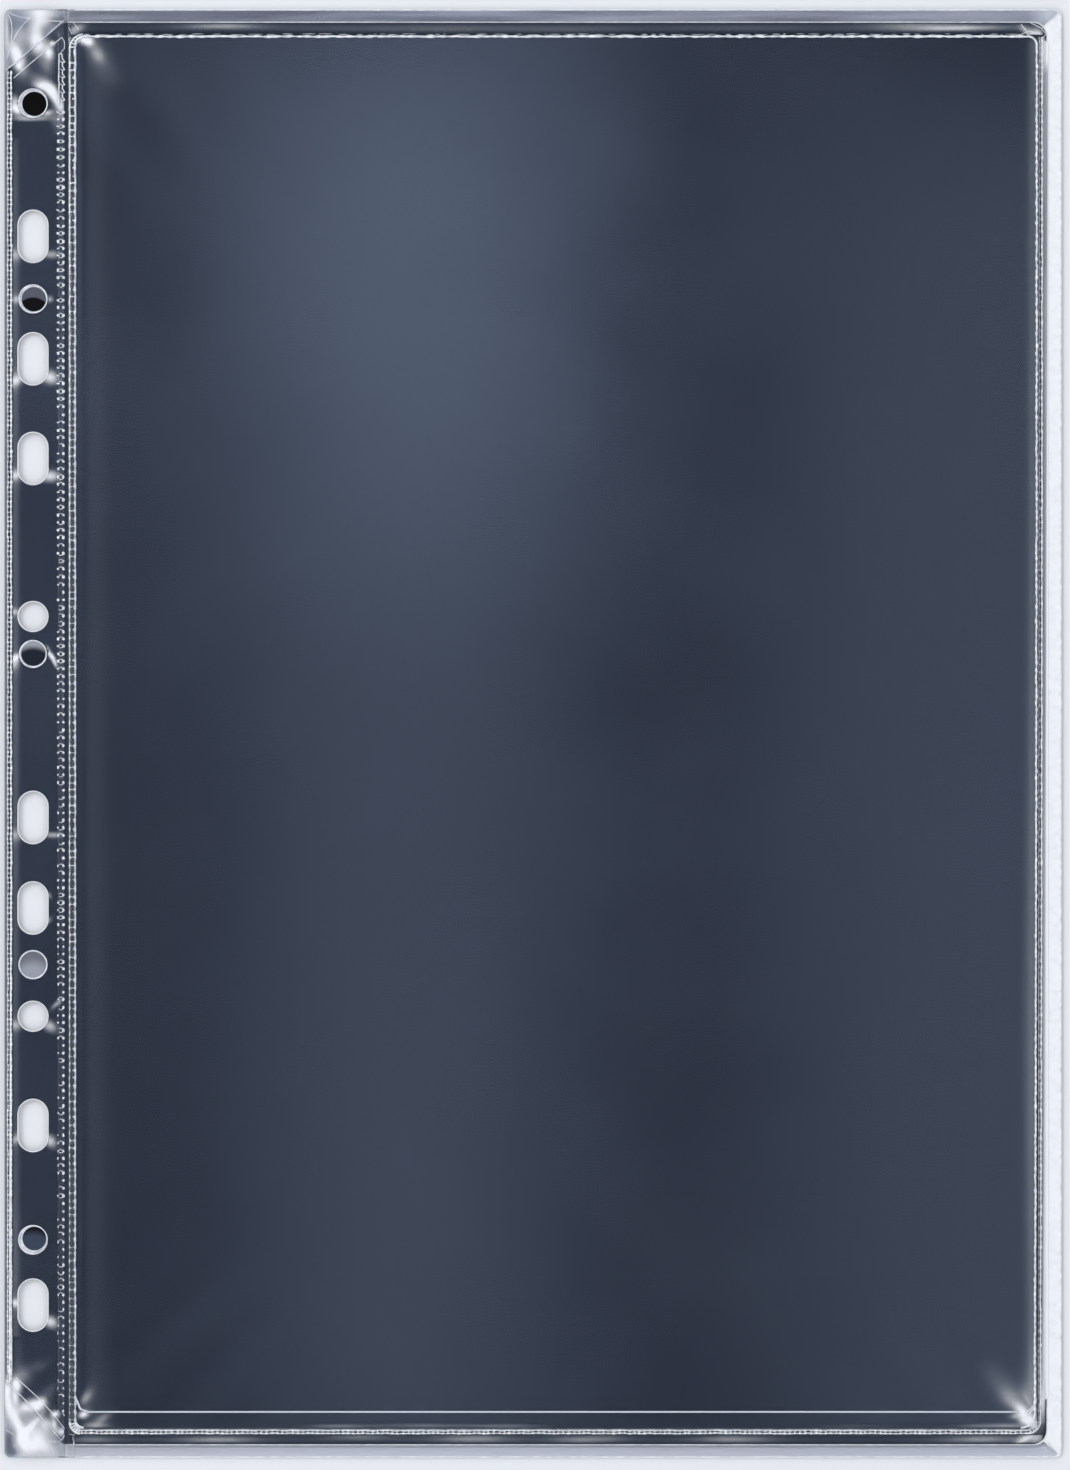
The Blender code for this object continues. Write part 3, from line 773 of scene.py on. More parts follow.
def chain_head(low, high, pitch):
    left = low.x + 0.22 * MM
    right = high.x - 0.55 * MM
    middle = (left + right) / 2
    top = high.y - 0.6 * MM
    foot = high.y - CHAIN_HEAD
    reach = (right - left) / 2
    loop = waver_run((left, foot), (left, top), 0.8 * MM, 0.12 * MM, 77)
    loop += arc((middle, top), reach, 160, 0, 6)
    teeth = [(right, top)]
    rungs = []
    place = top
    while place > foot + pitch:
        place -= pitch
        teeth.append((right + 0.1 * MM, place + 0.55 * pitch, 1.1))
        teeth.append((right + 0.6 * MM, place + 0.1 * pitch, 1.5))
        teeth.append((right + 0.12 * MM, place, 1.2))
        rungs.append([(left, place + 0.2 * MM, 0.6), (middle, place + 0.35 * MM, 0.5),
                      (right, place + 0.1 * MM, 0.9)])
    return [loop, teeth, *rungs]


chain_lines = chain_paths(chain_low, chain_high, LINK_PITCH, 21)
chain_lines += chain_head(chain_low, chain_high, LINK_PITCH)
chain = lay_wires("spine_chain", chain_lines, CHAIN_RADIUS, chain_low.z, chain_high.z - chain_low.z)
finish_piece(chain, [fused_seam], "margin", "fused_film", "spine_weld_outer")


# Edge seams
# Finer knurled seams close the fore edge, the foot and the outer edge of the margin.
fore_low, fore_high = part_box("fore_edge_weld")
foot_low, foot_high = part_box("foot_weld")
side_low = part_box("margin_edge_weld")[0]
SIDE_WIDTH = 0.74 * MM
SIDE_FOOT = -142.0 * MM
SIDE_TOP = 145.0 * MM
EDGE_RADIUS = 0.17 * MM
fore_tall = fore_high.z - fore_low.z
FORE_TURN = 2.7 * MM
FORE_RAIL = fore_high.x - 0.22 * MM
FORE_LEAN = 0.4 * MM
FOOT_RAIL = foot_low.y + 0.32 * MM
FORE_PITCH = 1.5 * MM
FINE_PITCH = 1.1 * MM

fore_foot = FOOT_RAIL + FORE_TURN
fore_lines = ladder_paths((fore_low.x + 0.25 * MM, fore_foot), (FORE_RAIL, fore_high.y), FORE_PITCH,
                          ((0.15, 0.55), (0.75, 1.35)), 0.6, EVEN, 31)
fore_lines += ladder_corner((FORE_RAIL - FORE_TURN, fore_foot), FORE_TURN - 0.9 * MM, FORE_TURN,
                            0, -88, (1.3, 1.2))
fore_lines = [[lean_in(knot, FORE_LEAN) for knot in path] for path in fore_lines]
fore = lay_wires("fore_seam", fore_lines, EDGE_RADIUS, fore_low.z, fore_tall)
finish_piece(fore, [fused_seam], "page", "fused_film", "fore_edge_weld")

foot_turned = ladder_paths((FOOT_RAIL, foot_low.x), (foot_high.y - 0.3 * MM, FORE_RAIL - FORE_TURN),
                           FINE_PITCH, ((0.65, 1.35), (0.95, 1.5)), 1.5, EVEN, 41)
foot_lines = [[(knot[1], knot[0], knot[2]) for knot in path] for path in foot_turned]
foot = lay_wires("foot_seam", foot_lines, EDGE_RADIUS, foot_low.z, fore_tall)
finish_piece(foot, [fused_seam], "page", "fused_film", "foot_weld")

side_lines = ladder_paths((side_low.x + 0.02 * MM, SIDE_FOOT), (side_low.x + SIDE_WIDTH, SIDE_TOP),
                          FINE_PITCH, ((0.4, 0.95), (0.8, 1.6)), 0.9, EVEN, 51)
# Towards the foot the side seam is pressed into one white line
SIDE_MIDDLE = side_low.x + 0.6 * MM
SIDE_PRESS = ((-36, 0.2), (-70, 0.9), (-100, 1.5), (-126, 2.0), (-138, 2.5), (-142, 2.3))
side_lines.append([(SIDE_MIDDLE, height * MM, weight) for height, weight in SIDE_PRESS])
side = lay_wires("side_seam", side_lines, EDGE_RADIUS, side_low.z, fore_tall)
finish_piece(side, [fused_seam], "margin", "fused_film", "margin_edge_weld")


# A grey pressed band lies between the fore seam and the rim, lighter and darker by long stretches.
# It turns white past a leaning line and at its head
def make_band(name, dim, bright, white):
    mat, tree, shader = new_material(name)
    tone = add_range(tree, add_noise(tree, 1.0, 2.0, BAND_STRETCH), NOISE_SPAN)
    axes = object_axes(tree)
    edge = add_range(tree, add_math(tree, "MULTIPLY_ADD", axes["Y"], BAND_LEAN, axes["X"]), BAND_EDGE)
    whiter = add_math(tree, "MAXIMUM", edge, add_range(tree, axes["Y"], BAND_HEAD))
    shade = add_mix(tree, whiter, add_mix(tree, tone, dim, bright), white)
    feed(shader, {"Base Color": shade, "Roughness": BAND_ROUGH})
    return mat


BAND_LEFT = fore_high.x - 0.2 * MM
BAND_RIGHT = 112.7 * MM
BAND_FOOT = -145.8 * MM
BAND_TOP = 151.6 * MM
BAND_LEVEL = 0.78 * MM
BAND_WALL = 0.1 * MM
BAND_CORNER = 0.9 * MM
BAND_STRETCH = (2600.0, 22.0, 1.0)
BAND_LEAN = -0.0042
BAND_ROUGH = 0.35
BAND_EDGE = (0.11196, 0.11236)
BAND_HEAD = (0.1445, 0.1475)
band_grey = make_band("band_grey", (0.17, 0.18, 0.21), (0.56, 0.57, 0.61), (0.92, 0.92, 0.935))
fore_band = add_box("fore_band", (BAND_LEFT, BAND_FOOT, BAND_LEVEL),
                    (BAND_RIGHT, BAND_TOP, BAND_LEVEL + BAND_WALL))
edit_mode()
pick("EDGE", lambda middle, edge: middle.x > BAND_RIGHT - NEAR and is_upright(middle, edge))
bpy.ops.mesh.bevel(offset=BAND_CORNER, segments=4)
object_mode()
finish_piece(fore_band, [band_grey], "page", "fused_film")


# Binding margin sheets
# The margin is a narrow sandwich of its own: clear back film, dark strip with cut-off
# corners, and a clear cover strip, all punched for binder rings.
MARGIN_SPAN = (-0.158, 0.158)


# Margin film is grey along the edge, lighter at the top and clear at the foot
def make_margin_film(name):
    mat = make_film(name, (0.7, 0.715, 0.75), 0.1, 0.2, 900.0, 0.1)
    ramp = mat.node_tree.nodes.new("ShaderNodeValToRGB")
    stops = ramp.color_ramp.elements
    stops[0].position = 0.035
    stops[0].color = (0.92, 0.925, 0.94, 1.0)
    stops[1].position = 0.965
    stops[1].color = (0.72, 0.73, 0.76, 1.0)
    for share in (0.06, 0.945):
        stops.new(share).color = (0.42, 0.435, 0.47, 1.0)
    feed(ramp, {"Fac": add_range(mat.node_tree, object_axes(mat.node_tree)["Y"], MARGIN_SPAN)})
    retint(mat, ramp.outputs["Color"])
    return mat


margin_film = make_margin_film("margin_film")
dress("margin_back_film", margin_film)
dress("margin_base", slate_sheet)
strip_clear = make_film("strip_clear", (0.97, 0.975, 0.985), 0.1, 0.16, 2400.0, 0.03)
dress("binding_strip", strip_clear)


# Hinge web
# A thin film bridges the groove between the two spine seams, where the real margin folds. The groove is
# lined dark between the slate sheets and is plain film past their ends.
web_low, web_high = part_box("hinge_web")
PAGE_SIDE = -101.74 * MM
MARGIN_SIDE = -102.44 * MM
SLATE_END = 155.3 * MM
WEB_WALL = 0.14 * MM
WEB_DRAPE = 0.68 * MM
DRAPE_RUN = 1.2 * MM
GROOVE_HALF = 0.5 * MM
GROOVE_DIP = 0.2 * MM
GROOVE_LAP = 0.15 * MM
web = add_grid(web_low, web_high, web_high.z, 21, 520)
web.name = "hinge_fold"
for vert in web.data.vertices:
    away = (vert.co.x - (PAGE_SIDE + MARGIN_SIDE) / 2) / GROOVE_HALF
    vert.co.z -= GROOVE_DIP * math.exp(-away * away)
    past = max(0.0, min(1.0, (abs(vert.co.y) - SLATE_END) / DRAPE_RUN))
    vert.co.z -= WEB_DRAPE * past * past * (3 - 2 * past)
for face in web.data.polygons:
    in_groove = MARGIN_SIDE - GROOVE_LAP < face.center.x < PAGE_SIDE + GROOVE_LAP
    face.material_index = 1 if in_groove and abs(face.center.y) < SLATE_END else 0
    if abs(face.center.y) > SLATE_END and MARGIN_SIDE < face.center.x < PAGE_SIDE:
        face.material_index = 2
bpy.ops.object.shade_smooth()
thicken(web, WEB_WALL, -1.0)
groove_slate = make_slate("groove_slate", (0.021, 0.029, 0.05), (0.027, 0.036, 0.061), 0.55, 0.2)
# Past the slate ends the web takes the rim film with its painted shade
put_materials(web, [strip_clear, groove_slate, rim_film_painted_shade])
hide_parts("hinge_web")
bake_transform(web)


# Hole rings
# Five of the holes are blind and ringed: a welded film ring with a sloping bright wall that stands
# a little off centre, round a floor of the dark strip that differs from hole to hole.
# Outer and floor radius in mm, shift of the floor, tones of its foot and head, where they meet and how softly
RINGS = (
    (3.26, 2.68, (0.28, -0.11), (0.003, 0.003, 0.003), (0.003, 0.003, 0.003), 0.0, 0.3),
    (3.2, 2.7, (0.16, -0.06), (0.005, 0.005, 0.006), (0.1, 0.103, 0.136), 0.36, 0.24),
    (3.08, 2.7, (0.06, 0.06), (0.0136, 0.0177, 0.0263), (0.36, 0.37, 0.41), 1.5, 0.8),
    (3.2, 2.85, (0.0, 0.0), (0.3, 0.31, 0.36), (0.165, 0.17, 0.2), 0.5, 1.4),
    (3.26, 2.62, (0.28, 0.26), (0.042, 0.053, 0.084), (0.007, 0.008, 0.012), 1.6, 1.0),
)
RING_LINE = 0.13 * MM
RING_WALL = 0.1 * MM
RING_WALL_LEVEL = 0.83 * MM
FLOOR_RIM = 0.02 * MM
FLOOR_DEPTH = 0.06 * MM
FLOOR_BOW = 3.5 * MM
FLOOR_LIGHTER = 1.25


# Floor of a blind hole: light falls into its head past a soft bowed step
def make_floor(name, tone, head, middle, step, soft):
    mat = make_slate(name, tone, tuple(FLOOR_LIGHTER * part for part in tone), 0.5, 0.05)
    tree = mat.node_tree
    from_bow = {"Location": (-middle.x, FLOOR_BOW - middle.y, 0.0), "Scale": (1.0, 1.0, 0.0)}
    place = add_node(tree, "Mapping", {"Vector": object_place(tree), **from_bow})["Vector"]
    away = add_node(tree, "VectorMath", {0: place}, operation="LENGTH")["Value"]
    meet = FLOOR_BOW + step
    fall = add_range(tree, away, (meet - soft, meet + soft), interpolation_type="SMOOTHSTEP")
    plain = tree.nodes["Principled BSDF"].inputs["Base Color"].links[0].from_socket
    retint(mat, add_mix(tree, fall, plain, head))
    return mat


def add_ring(number, outer, clear, shift, tone, head, step, soft):
    low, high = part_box(f"hole_ring_{number}")
    middle = (low + high) / 2
    bore = outer * MM - RING_LINE
    deselect_all()
    crest = (middle.x, middle.y, high.z - RING_LINE)
    bpy.ops.mesh.primitive_torus_add(major_segments=48, minor_segments=8, major_radius=bore,
                                     minor_radius=RING_LINE, location=crest)
    ring = bpy.context.object
    bpy.ops.object.transform_apply()
    bpy.ops.object.shade_smooth()
    ring.name = f"ring_{number}"
    bpy.ops.mesh.primitive_cylinder_add(vertices=48, radius=bore, depth=RING_WALL,
                                        location=(middle.x, middle.y, RING_WALL_LEVEL))
    wall = bpy.context.object
    bpy.ops.object.transform_apply()
    edit_mode()
    pick("FACE", lambda place, face: face.normal.z > 0.9)
    bpy.ops.mesh.inset(thickness=bore - clear * MM)
    bpy.ops.transform.translate(value=(shift[0] * MM, shift[1] * MM, 0.0))
    bpy.ops.mesh.inset(thickness=FLOOR_RIM, depth=-FLOOR_DEPTH)
    object_mode()
    centre = (middle.x + shift[0] * MM, middle.y + shift[1] * MM)
    for face in wall.data.polygons:
        away = math.hypot(face.center.x - centre[0], face.center.y - centre[1])
        face.material_index = 1 if away < 0.9 * clear * MM and face.normal.z > 0.9 else 0
    wall.name = f"ring_wall_{number}"
    floor_tone = make_floor(f"hole_floor_{number}", tone, head, middle, step * MM, soft * MM)
    finish_piece(wall, [fused_wall, floor_tone], "margin", "fused_film")
    finish_piece(ring, [fused_white_and_highlight], "margin", "fused_film", f"hole_ring_{number}")


fused_wall = make_white_mottle("fused_wall", (0.55, 0.57, 0.62), (0.85, 0.86, 0.9), 0.4)
for number, row in enumerate(RINGS, 1):
    add_ring(number, *row)


# Hole edges
# The slots and plain rounds are punched right through. The cut edge of the strip is pale all the way
# down, as the card's is; its bright outline is partly that pale edge and partly a painted highlight, and it
# lightens the hole where the walls would shade the floor.
HOLE_X = -109.39 * MM
HOLE_EDGE = 3.32 * MM
HOLE_LINE = 0.12 * MM
HOLE_EDGE_BASE = 0.12 * MM
HOLE_EDGE_TALL = 1.0 * MM
RINGED = (137.875, 95.075, 17.4, -50.575, -110.775)
ROUND = (25.6, -61.875)
SLOTTED = (108.775, 81.975, 60.175, -18.375, -38.175, -85.775, -125.075)
SLOT_HALF = 2.45 * MM


def hole_outline(height, half):
    upper = arc((HOLE_X, height * MM + half), HOLE_EDGE, 0, 180, 16)
    lower = arc((HOLE_X, height * MM - half), HOLE_EDGE, 180, 360, 16)
    if half == 0.0:
        upper = upper[:-1]
        lower = lower[:-1]
    return upper + lower + upper[:1]


outlines = [hole_outline(height, SLOT_HALF) for height in SLOTTED]
outlines += [hole_outline(height, 0.0) for height in ROUND]
hole_edge_highlights = lay_wires("hole_edge_highlights", outlines, HOLE_LINE, HOLE_EDGE_BASE, HOLE_EDGE_TALL)
finish_piece(hole_edge_highlights, [painted_highlight_white], "margin", "fused_film")


# Corner films
# Past the cut-off corners of the dark strip the two films are fused to each other. They are creased
# from binding and trimming and grey in patches; the white lines along the creases are painted highlights.
margin_low, margin_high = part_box("margin_back_film")
CORNER_FILM_BASE = 0.22 * MM
CORNER_FILM_WALL = 0.2 * MM
TOP_CUT = ((0.25, 13.9), (13.25, 3.05))
FOOT_CUT = ((0.36, 16.9), (13.25, 2.9))
CREASE_RADIUS = 0.1 * MM
CREASE_TALL = 0.14 * MM
CORNER_INSET = 0.06 * MM
CORNER_REACH = 17.24 * MM
CORNER_SIDE = 0.05 * MM
CORNER_LIFT = 0.3 * MM
CRUMPLE_RATE = 260
CRINKLE_RATE = 600
SHEET_CORNER = 1.6 * MM


# Turns distances in from the left edge and away from the top or foot edge into a place
def from_corner(reach, top):
    x = margin_low.x + reach[0] * MM
    if top:
        return (x, margin_high.y - reach[1] * MM)
    return (x, margin_low.y + reach[1] * MM)


LOBE_LEAST = 0.04
LOBE_CURVE = 1.8
LOBE_SPREAD = 0.25
LOBE_FALL = 3.1


# How strong a sum of lobes is at a place, for the painted sheen and for the corner greys: lobes of middle,
# half length, half width, turn and strength
def lobe_strength(x, y, lobes):
    total = 0.0
    for lobe_x, lobe_y, long, wide, turn, strength in lobes:
        lean = math.radians(turn)
        across = x / MM - lobe_x
        up = y / MM - lobe_y
        along = (across * math.cos(lean) + up * math.sin(lean)) / long
        aside = (up * math.cos(lean) - across * math.sin(lean)) / wide
        total += strength / (1.0 + LOBE_SPREAD * (along * along + aside * aside)) ** LOBE_FALL
    seen = max(0.0, min(1.0, total) - LOBE_LEAST) / (1.0 - LOBE_LEAST)
    return seen ** LOBE_CURVE


# Lobes given by distances in from a corner, at their places on the sheet
def corner_lobes(spots, top):
    lobes = []
    for spot in spots:
        x, y = from_corner(spot, top)
        lobes.append((x / MM, y / MM, *spot[2:]))
    return lobes


# Film that is clear or grey by the mesh's own grey values
def make_corner_film(name, clear, dim):
    mat = make_film(name, clear, 0.12, 0.24, 900.0, 0.1)
    grey = add_node(mat.node_tree, "Attribute", {}, attribute_name="grey")["Fac"]
    retint(mat, add_mix(mat.node_tree, grey, clear, dim))
    return mat


def add_corner_film(name, cut, greys, top):
    edge = margin_high.y if top else margin_low.y
    rise = 1.0 if top else -1.0
    low_y, high_y = sorted((edge - rise * CORNER_INSET, edge - rise * CORNER_REACH))
    ob = add_grid((margin_low.x + CORNER_SIDE, low_y), (margin_high.x - CORNER_SIDE, high_y),
                  CORNER_FILM_BASE + CORNER_FILM_WALL, 44, 56)
    start = Vector((*from_corner(cut[0], top), 0.0))
    run = Vector((*from_corner(cut[1], top), 0.0)) - start
    out = Vector((-rise * run.y, rise * run.x, 0.0))
    edit_mode()
    select_mesh()
    bpy.ops.mesh.bisect(plane_co=start, plane_no=out, clear_inner=True)
    centre = Vector((margin_low.x + SHEET_CORNER, edge - rise * SHEET_CORNER, 0.0))
    for turn in range(10, 90, 10):
        facing = Vector((-math.cos(math.radians(turn)), rise * math.sin(math.radians(turn)), 0.0))
        select_mesh()
        bpy.ops.mesh.bisect(plane_co=centre + facing * SHEET_CORNER, plane_no=facing, clear_outer=True)
    object_mode()
    lobes = corner_lobes(greys, top)
    grey = ob.data.attributes.new("grey", "FLOAT", "POINT")
    for vert in ob.data.vertices:
        x, y, _ = vert.co
        lift = 0.5 + 0.5 * waver(x * CRUMPLE_RATE, y * CRUMPLE_RATE, 4.0 if top else 9.0)
        lift += 0.5 * waver(x * CRINKLE_RATE, y * CRINKLE_RATE, 1.0)
        vert.co.z += CORNER_LIFT * max(0.0, min(1.0, lift))
        grey.data[vert.index].value = lobe_strength(x, y, lobes)
    bpy.ops.object.shade_smooth()
    thicken(ob, CORNER_FILM_WALL, -1.0)
    ob.name = name
    return ob


TOP_GREYS = (
    (1.2, 4.2, 3.4, 1.4, -85, 0.75), (11.5, 2.4, 2.8, 1.3, 0, 0.85), (4.4, 3.6, 1.8, 1.4, 0, 0.55),
    (5.0, 7.6, 1.7, 1.0, -50, 0.6),
)
FOOT_GREYS = (
    (1.0, 3.6, 3.2, 1.35, 90, 1.0), (2.0, 1.1, 1.4, 0.9, 0, 0.6), (3.4, 5.8, 1.5, 0.8, -60, 0.3),
    (12.2, 4.4, 1.8, 1.0, -45, 0.6),
)
corner_film = make_corner_film("corner_film", (0.95, 0.955, 0.965), (0.3, 0.32, 0.38))
top_corner = add_corner_film("corner_film_top", TOP_CUT, TOP_GREYS, True)
finish_piece(top_corner, [corner_film], "margin", "clear_film")
foot_corner = add_corner_film("corner_film_foot", FOOT_CUT, FOOT_GREYS, False)
finish_piece(foot_corner, [corner_film], "margin", "clear_film")

TOP_CREASES = (
    ((1.0, 0.5), (1.9, 1.2), (3.7, 1.75), (5.9, 2.0), (8.5, 2.45), (12.4, 2.65)),
    ((5.4, 2.0), (4.1, 3.3), (2.8, 5.1), (1.9, 6.9), (1.1, 8.5), (0.5, 11.0)),
    ((0.8, 0.8), (1.5, 2.6), (1.7, 4.6), (1.5, 7.2)),
    ((0.3, 7.4), (1.8, 7.4)),
)
FOOT_CREASES = (
    ((0.4, 14.8), (1.2, 11.0), (2.6, 8.0), (3.8, 5.0), (4.1, 2.4), (4.2, 0.4)),
    ((0.3, 6.1), (2.1, 5.0)),
    ((3.9, 4.2), (5.6, 6.4), (7.8, 9.0)),
    ((9.6, 3.5), (12.6, 3.5)),
    ((2.2, 15.8), (2.3, 11.0)),
)
TOP_EDGES = (
    ((0.3, 13.4), (2.4, 11.8), (6.3, 8.4), (9.2, 5.8), (13.0, 2.5)),
    ((2.1, 15.1), (4.2, 13.2), (8.8, 9.3), (12.6, 6.2)),
    ((12.6, 6.2), (13.2, 7.1), (13.2, 8.6), (12.4, 9.5)),
)
FOOT_EDGES = (
    ((0.4, 17.1), (2.3, 15.0), (7.1, 10.1), (10.4, 6.2), (12.5, 3.8)),
    ((2.6, 17.6), (7.8, 12.8), (10.8, 9.5), (13.2, 6.4)),
    ((12.5, 3.8), (13.2, 4.9)),
    ((12.6, 10.3), (13.2, 9.2)),
)
CREASE_SETS = (
    (TOP_CREASES, True, 0.55), (FOOT_CREASES, False, 0.55),
    (TOP_EDGES, True, 1.02), (FOOT_EDGES, False, 1.02),
)
# Each crease is laid as a white wire, a painted highlight where it catches the light
creases = []
for paths, top, level in CREASE_SETS:
    for path in paths:
        points = [from_corner(place, top) for place in path]
        creases.append(lay_wires("crease", [points], CREASE_RADIUS, level * MM, CREASE_TALL))
crease_lines = join(creases, "margin_creases")
finish_piece(crease_lines, [fused_white_and_highlight], "margin", "fused_film")

# Folds at the fore corners, from the pocket's corner out over the rim, drawn as white lines of painted
# highlight
FORE_TOP_CREASES = (
    ((8.9, 3.3), (7.8, 4.7), (7.2, 5.9)), ((8.9, 5.5), (7.1, 4.8), (5.4, 5.3)),
    ((7.0, 2.9), (4.5, 4.1), (3.4, 5.5)), ((4.9, 6.8), (3.4, 5.5)), ((4.3, 4.1), (2.4, 2.4), (0.7, 0.9)),
    ((4.2, 8.4), (3.2, 6.6)),
)
FORE_FOOT_CREASES = (((3.4, 3.7), (0.8, 0.7)), ((9.4, 3.5), (7.6, 4.0), (6.2, 4.9)))
FILM_CREASES = (((7.6, 10.2), (5.9, 11.9)), ((7.2, 9.75), (5.95, 11.2)))
SPINE_TOP_CREASES = (((15.0, 2.8), (15.8, 3.8), (16.3, 4.4)), ((13.6, 3.2), (14.4, 4.6), (14.8, 5.4)))
SPINE_FOOT_CREASES = (
    ((15.0, 4.6), (15.2, 3.0), (15.2, 0.3)), ((14.0, 8.7), (14.9, 7.2)), ((14.2, 5.2), (15.4, 4.9)),
)
RIM_FALL = 0.36 * MM
FOLD_LEVEL = 0.76 * MM
FOLD_TALL = 0.12 * MM
FOLD_WEIGHT = 0.8


# Lets what runs out over the rim lie down on its slope
def lie_on_rim(ob):
    for vert in ob.data.vertices:
        reach = min(rim_high.x - vert.co.x, rim_high.y - abs(vert.co.y))
        vert.co.z -= RIM_FALL * max(0.0, 1.0 - reach / RIM_WIDTH)


FOLD_SETS = (
    (SPINE_TOP_CREASES, margin_low.x, 1.0, 1.0), (SPINE_FOOT_CREASES, margin_low.x, 1.0, -1.0),
    (FORE_TOP_CREASES, rim_high.x, -1.0, 1.0), (FORE_FOOT_CREASES, rim_high.x, -1.0, -1.0),
)
folds = []
for paths, edge, inward, rise in FOLD_SETS:
    for path in paths:
        folds.append([(edge + inward * x * MM, rise * (rim_high.y - y * MM), FOLD_WEIGHT) for x, y in path])
fore_folds = lay_wires("fore_folds", folds, CREASE_RADIUS, FOLD_LEVEL, FOLD_TALL)
lie_on_rim(fore_folds)
finish_piece(fore_folds, [fused_white_and_highlight], "page", "fused_film")
# Two more white lines of painted highlight where the pocket film is pulled near its fore foot corner
pulls = [[(rim_high.x - x * MM, rim_low.y + y * MM) for x, y in path] for path in FILM_CREASES]
film_folds = lay_wires("film_folds", pulls, CREASE_RADIUS, LINE_LEVEL, CREASE_TALL)
finish_piece(film_folds, [fused_white_and_highlight], "page", "fused_film")


# Painted sheen
# At corners, round holes, beside the seams and along the bands, soft-edged patches of painted highlight and
# sheen stand for light reflected off the bent film.
SHEEN_WALL = 0.01 * MM
SHEEN_GAP = 0.02 * MM
HOLE_RADIUS = 3.35 * MM
SHEEN_FAINT = (0.01, 0.12)
SHEEN_CLOUD = 320.0
SHEEN_VARY = (0.75, 1.15)
SHEEN_ROUGH = 0.4


# Painted highlight and sheen: a skin that fades out by the mesh's own per-point values, bluish where it is
# faintest
def make_painted_sheen(name, faint, white):
    mat, tree, shader = new_material(name)
    sheen = add_node(tree, "Attribute", {}, attribute_name="sheen")["Fac"]
    tint = add_mix(tree, add_range(tree, sheen, SHEEN_FAINT), faint, white)
    vary = add_range(tree, add_noise(tree, SHEEN_CLOUD, 3.0), UNIT, SHEEN_VARY)
    cover = add_math(tree, "MULTIPLY", sheen, vary)
    feed(shader, {"Base Color": tint, "Alpha": cover, "Roughness": SHEEN_ROUGH})
    return mat


def in_hole(x, y):
    if abs(x - HOLE_X) > HOLE_RADIUS:
        return False
    for height in RINGED + ROUND:
        if math.hypot(x - HOLE_X, y - height * MM) < HOLE_RADIUS:
            return True
    for height in SLOTTED:
        if math.hypot(x - HOLE_X, max(0.0, abs(y - height * MM) - SLOT_HALF)) < HOLE_RADIUS:
            return True
    return False


# A skin of painted sheen over a region, cut away where none is painted
def add_sheen_skin(low, high, step, lobes, level):
    columns = round((high[0] - low[0]) / step)
    rows = round((high[1] - low[1]) / step)
    ob = add_grid([part * MM for part in low], [part * MM for part in high], 0.0, columns, rows)
    sheen = ob.data.attributes.new("sheen", "FLOAT", "POINT")
    for vert in ob.data.vertices:
        clear = in_hole(vert.co.x, vert.co.y)
        sheen.data[vert.index].value = 0.0 if clear else lobe_strength(vert.co.x, vert.co.y, lobes)
        vert.co.z = level(vert.co.x, vert.co.y)
    values = [point.value for point in sheen.data]
    edit_mode()
    pick("FACE", lambda middle, face: all(values[vert.index] <= 0.0 for vert in face.verts))
    bpy.ops.mesh.delete(type="FACE")
    object_mode()
    bpy.ops.object.shade_smooth()
    thicken(ob, SHEEN_WALL, 1.0)
    return ob


SHEET_LEFT = margin_low.x / MM
SHEET_TOP = margin_high.y / MM
FUSED_LEVEL = 0.74 * MM
STEP_RISE = 0.3 * MM
STEP_RUN = 1.2 * MM


# Over the margin the film steps down from the dark strip to the fused corner
def margin_level(cut, top):
    start = from_corner(cut[0], top)
    end = from_corner(cut[1], top)
    run = Vector((end[0] - start[0], end[1] - start[1]))
    inward = Vector((run.y, -run.x)) if top else Vector((-run.y, run.x))
    inward.normalize()

    def level(x, y):
        depth = (x - start[0]) * inward.x + (y - start[1]) * inward.y
        share = max(0.0, min(1.0, 0.5 + depth / STEP_RUN))
        return FUSED_LEVEL + STEP_RISE * share

    return level


def flat(level):
    return lambda x, y: level


def film_level(x, y):
    return PANEL_TOP + film_wave(x, y) + SHEEN_GAP


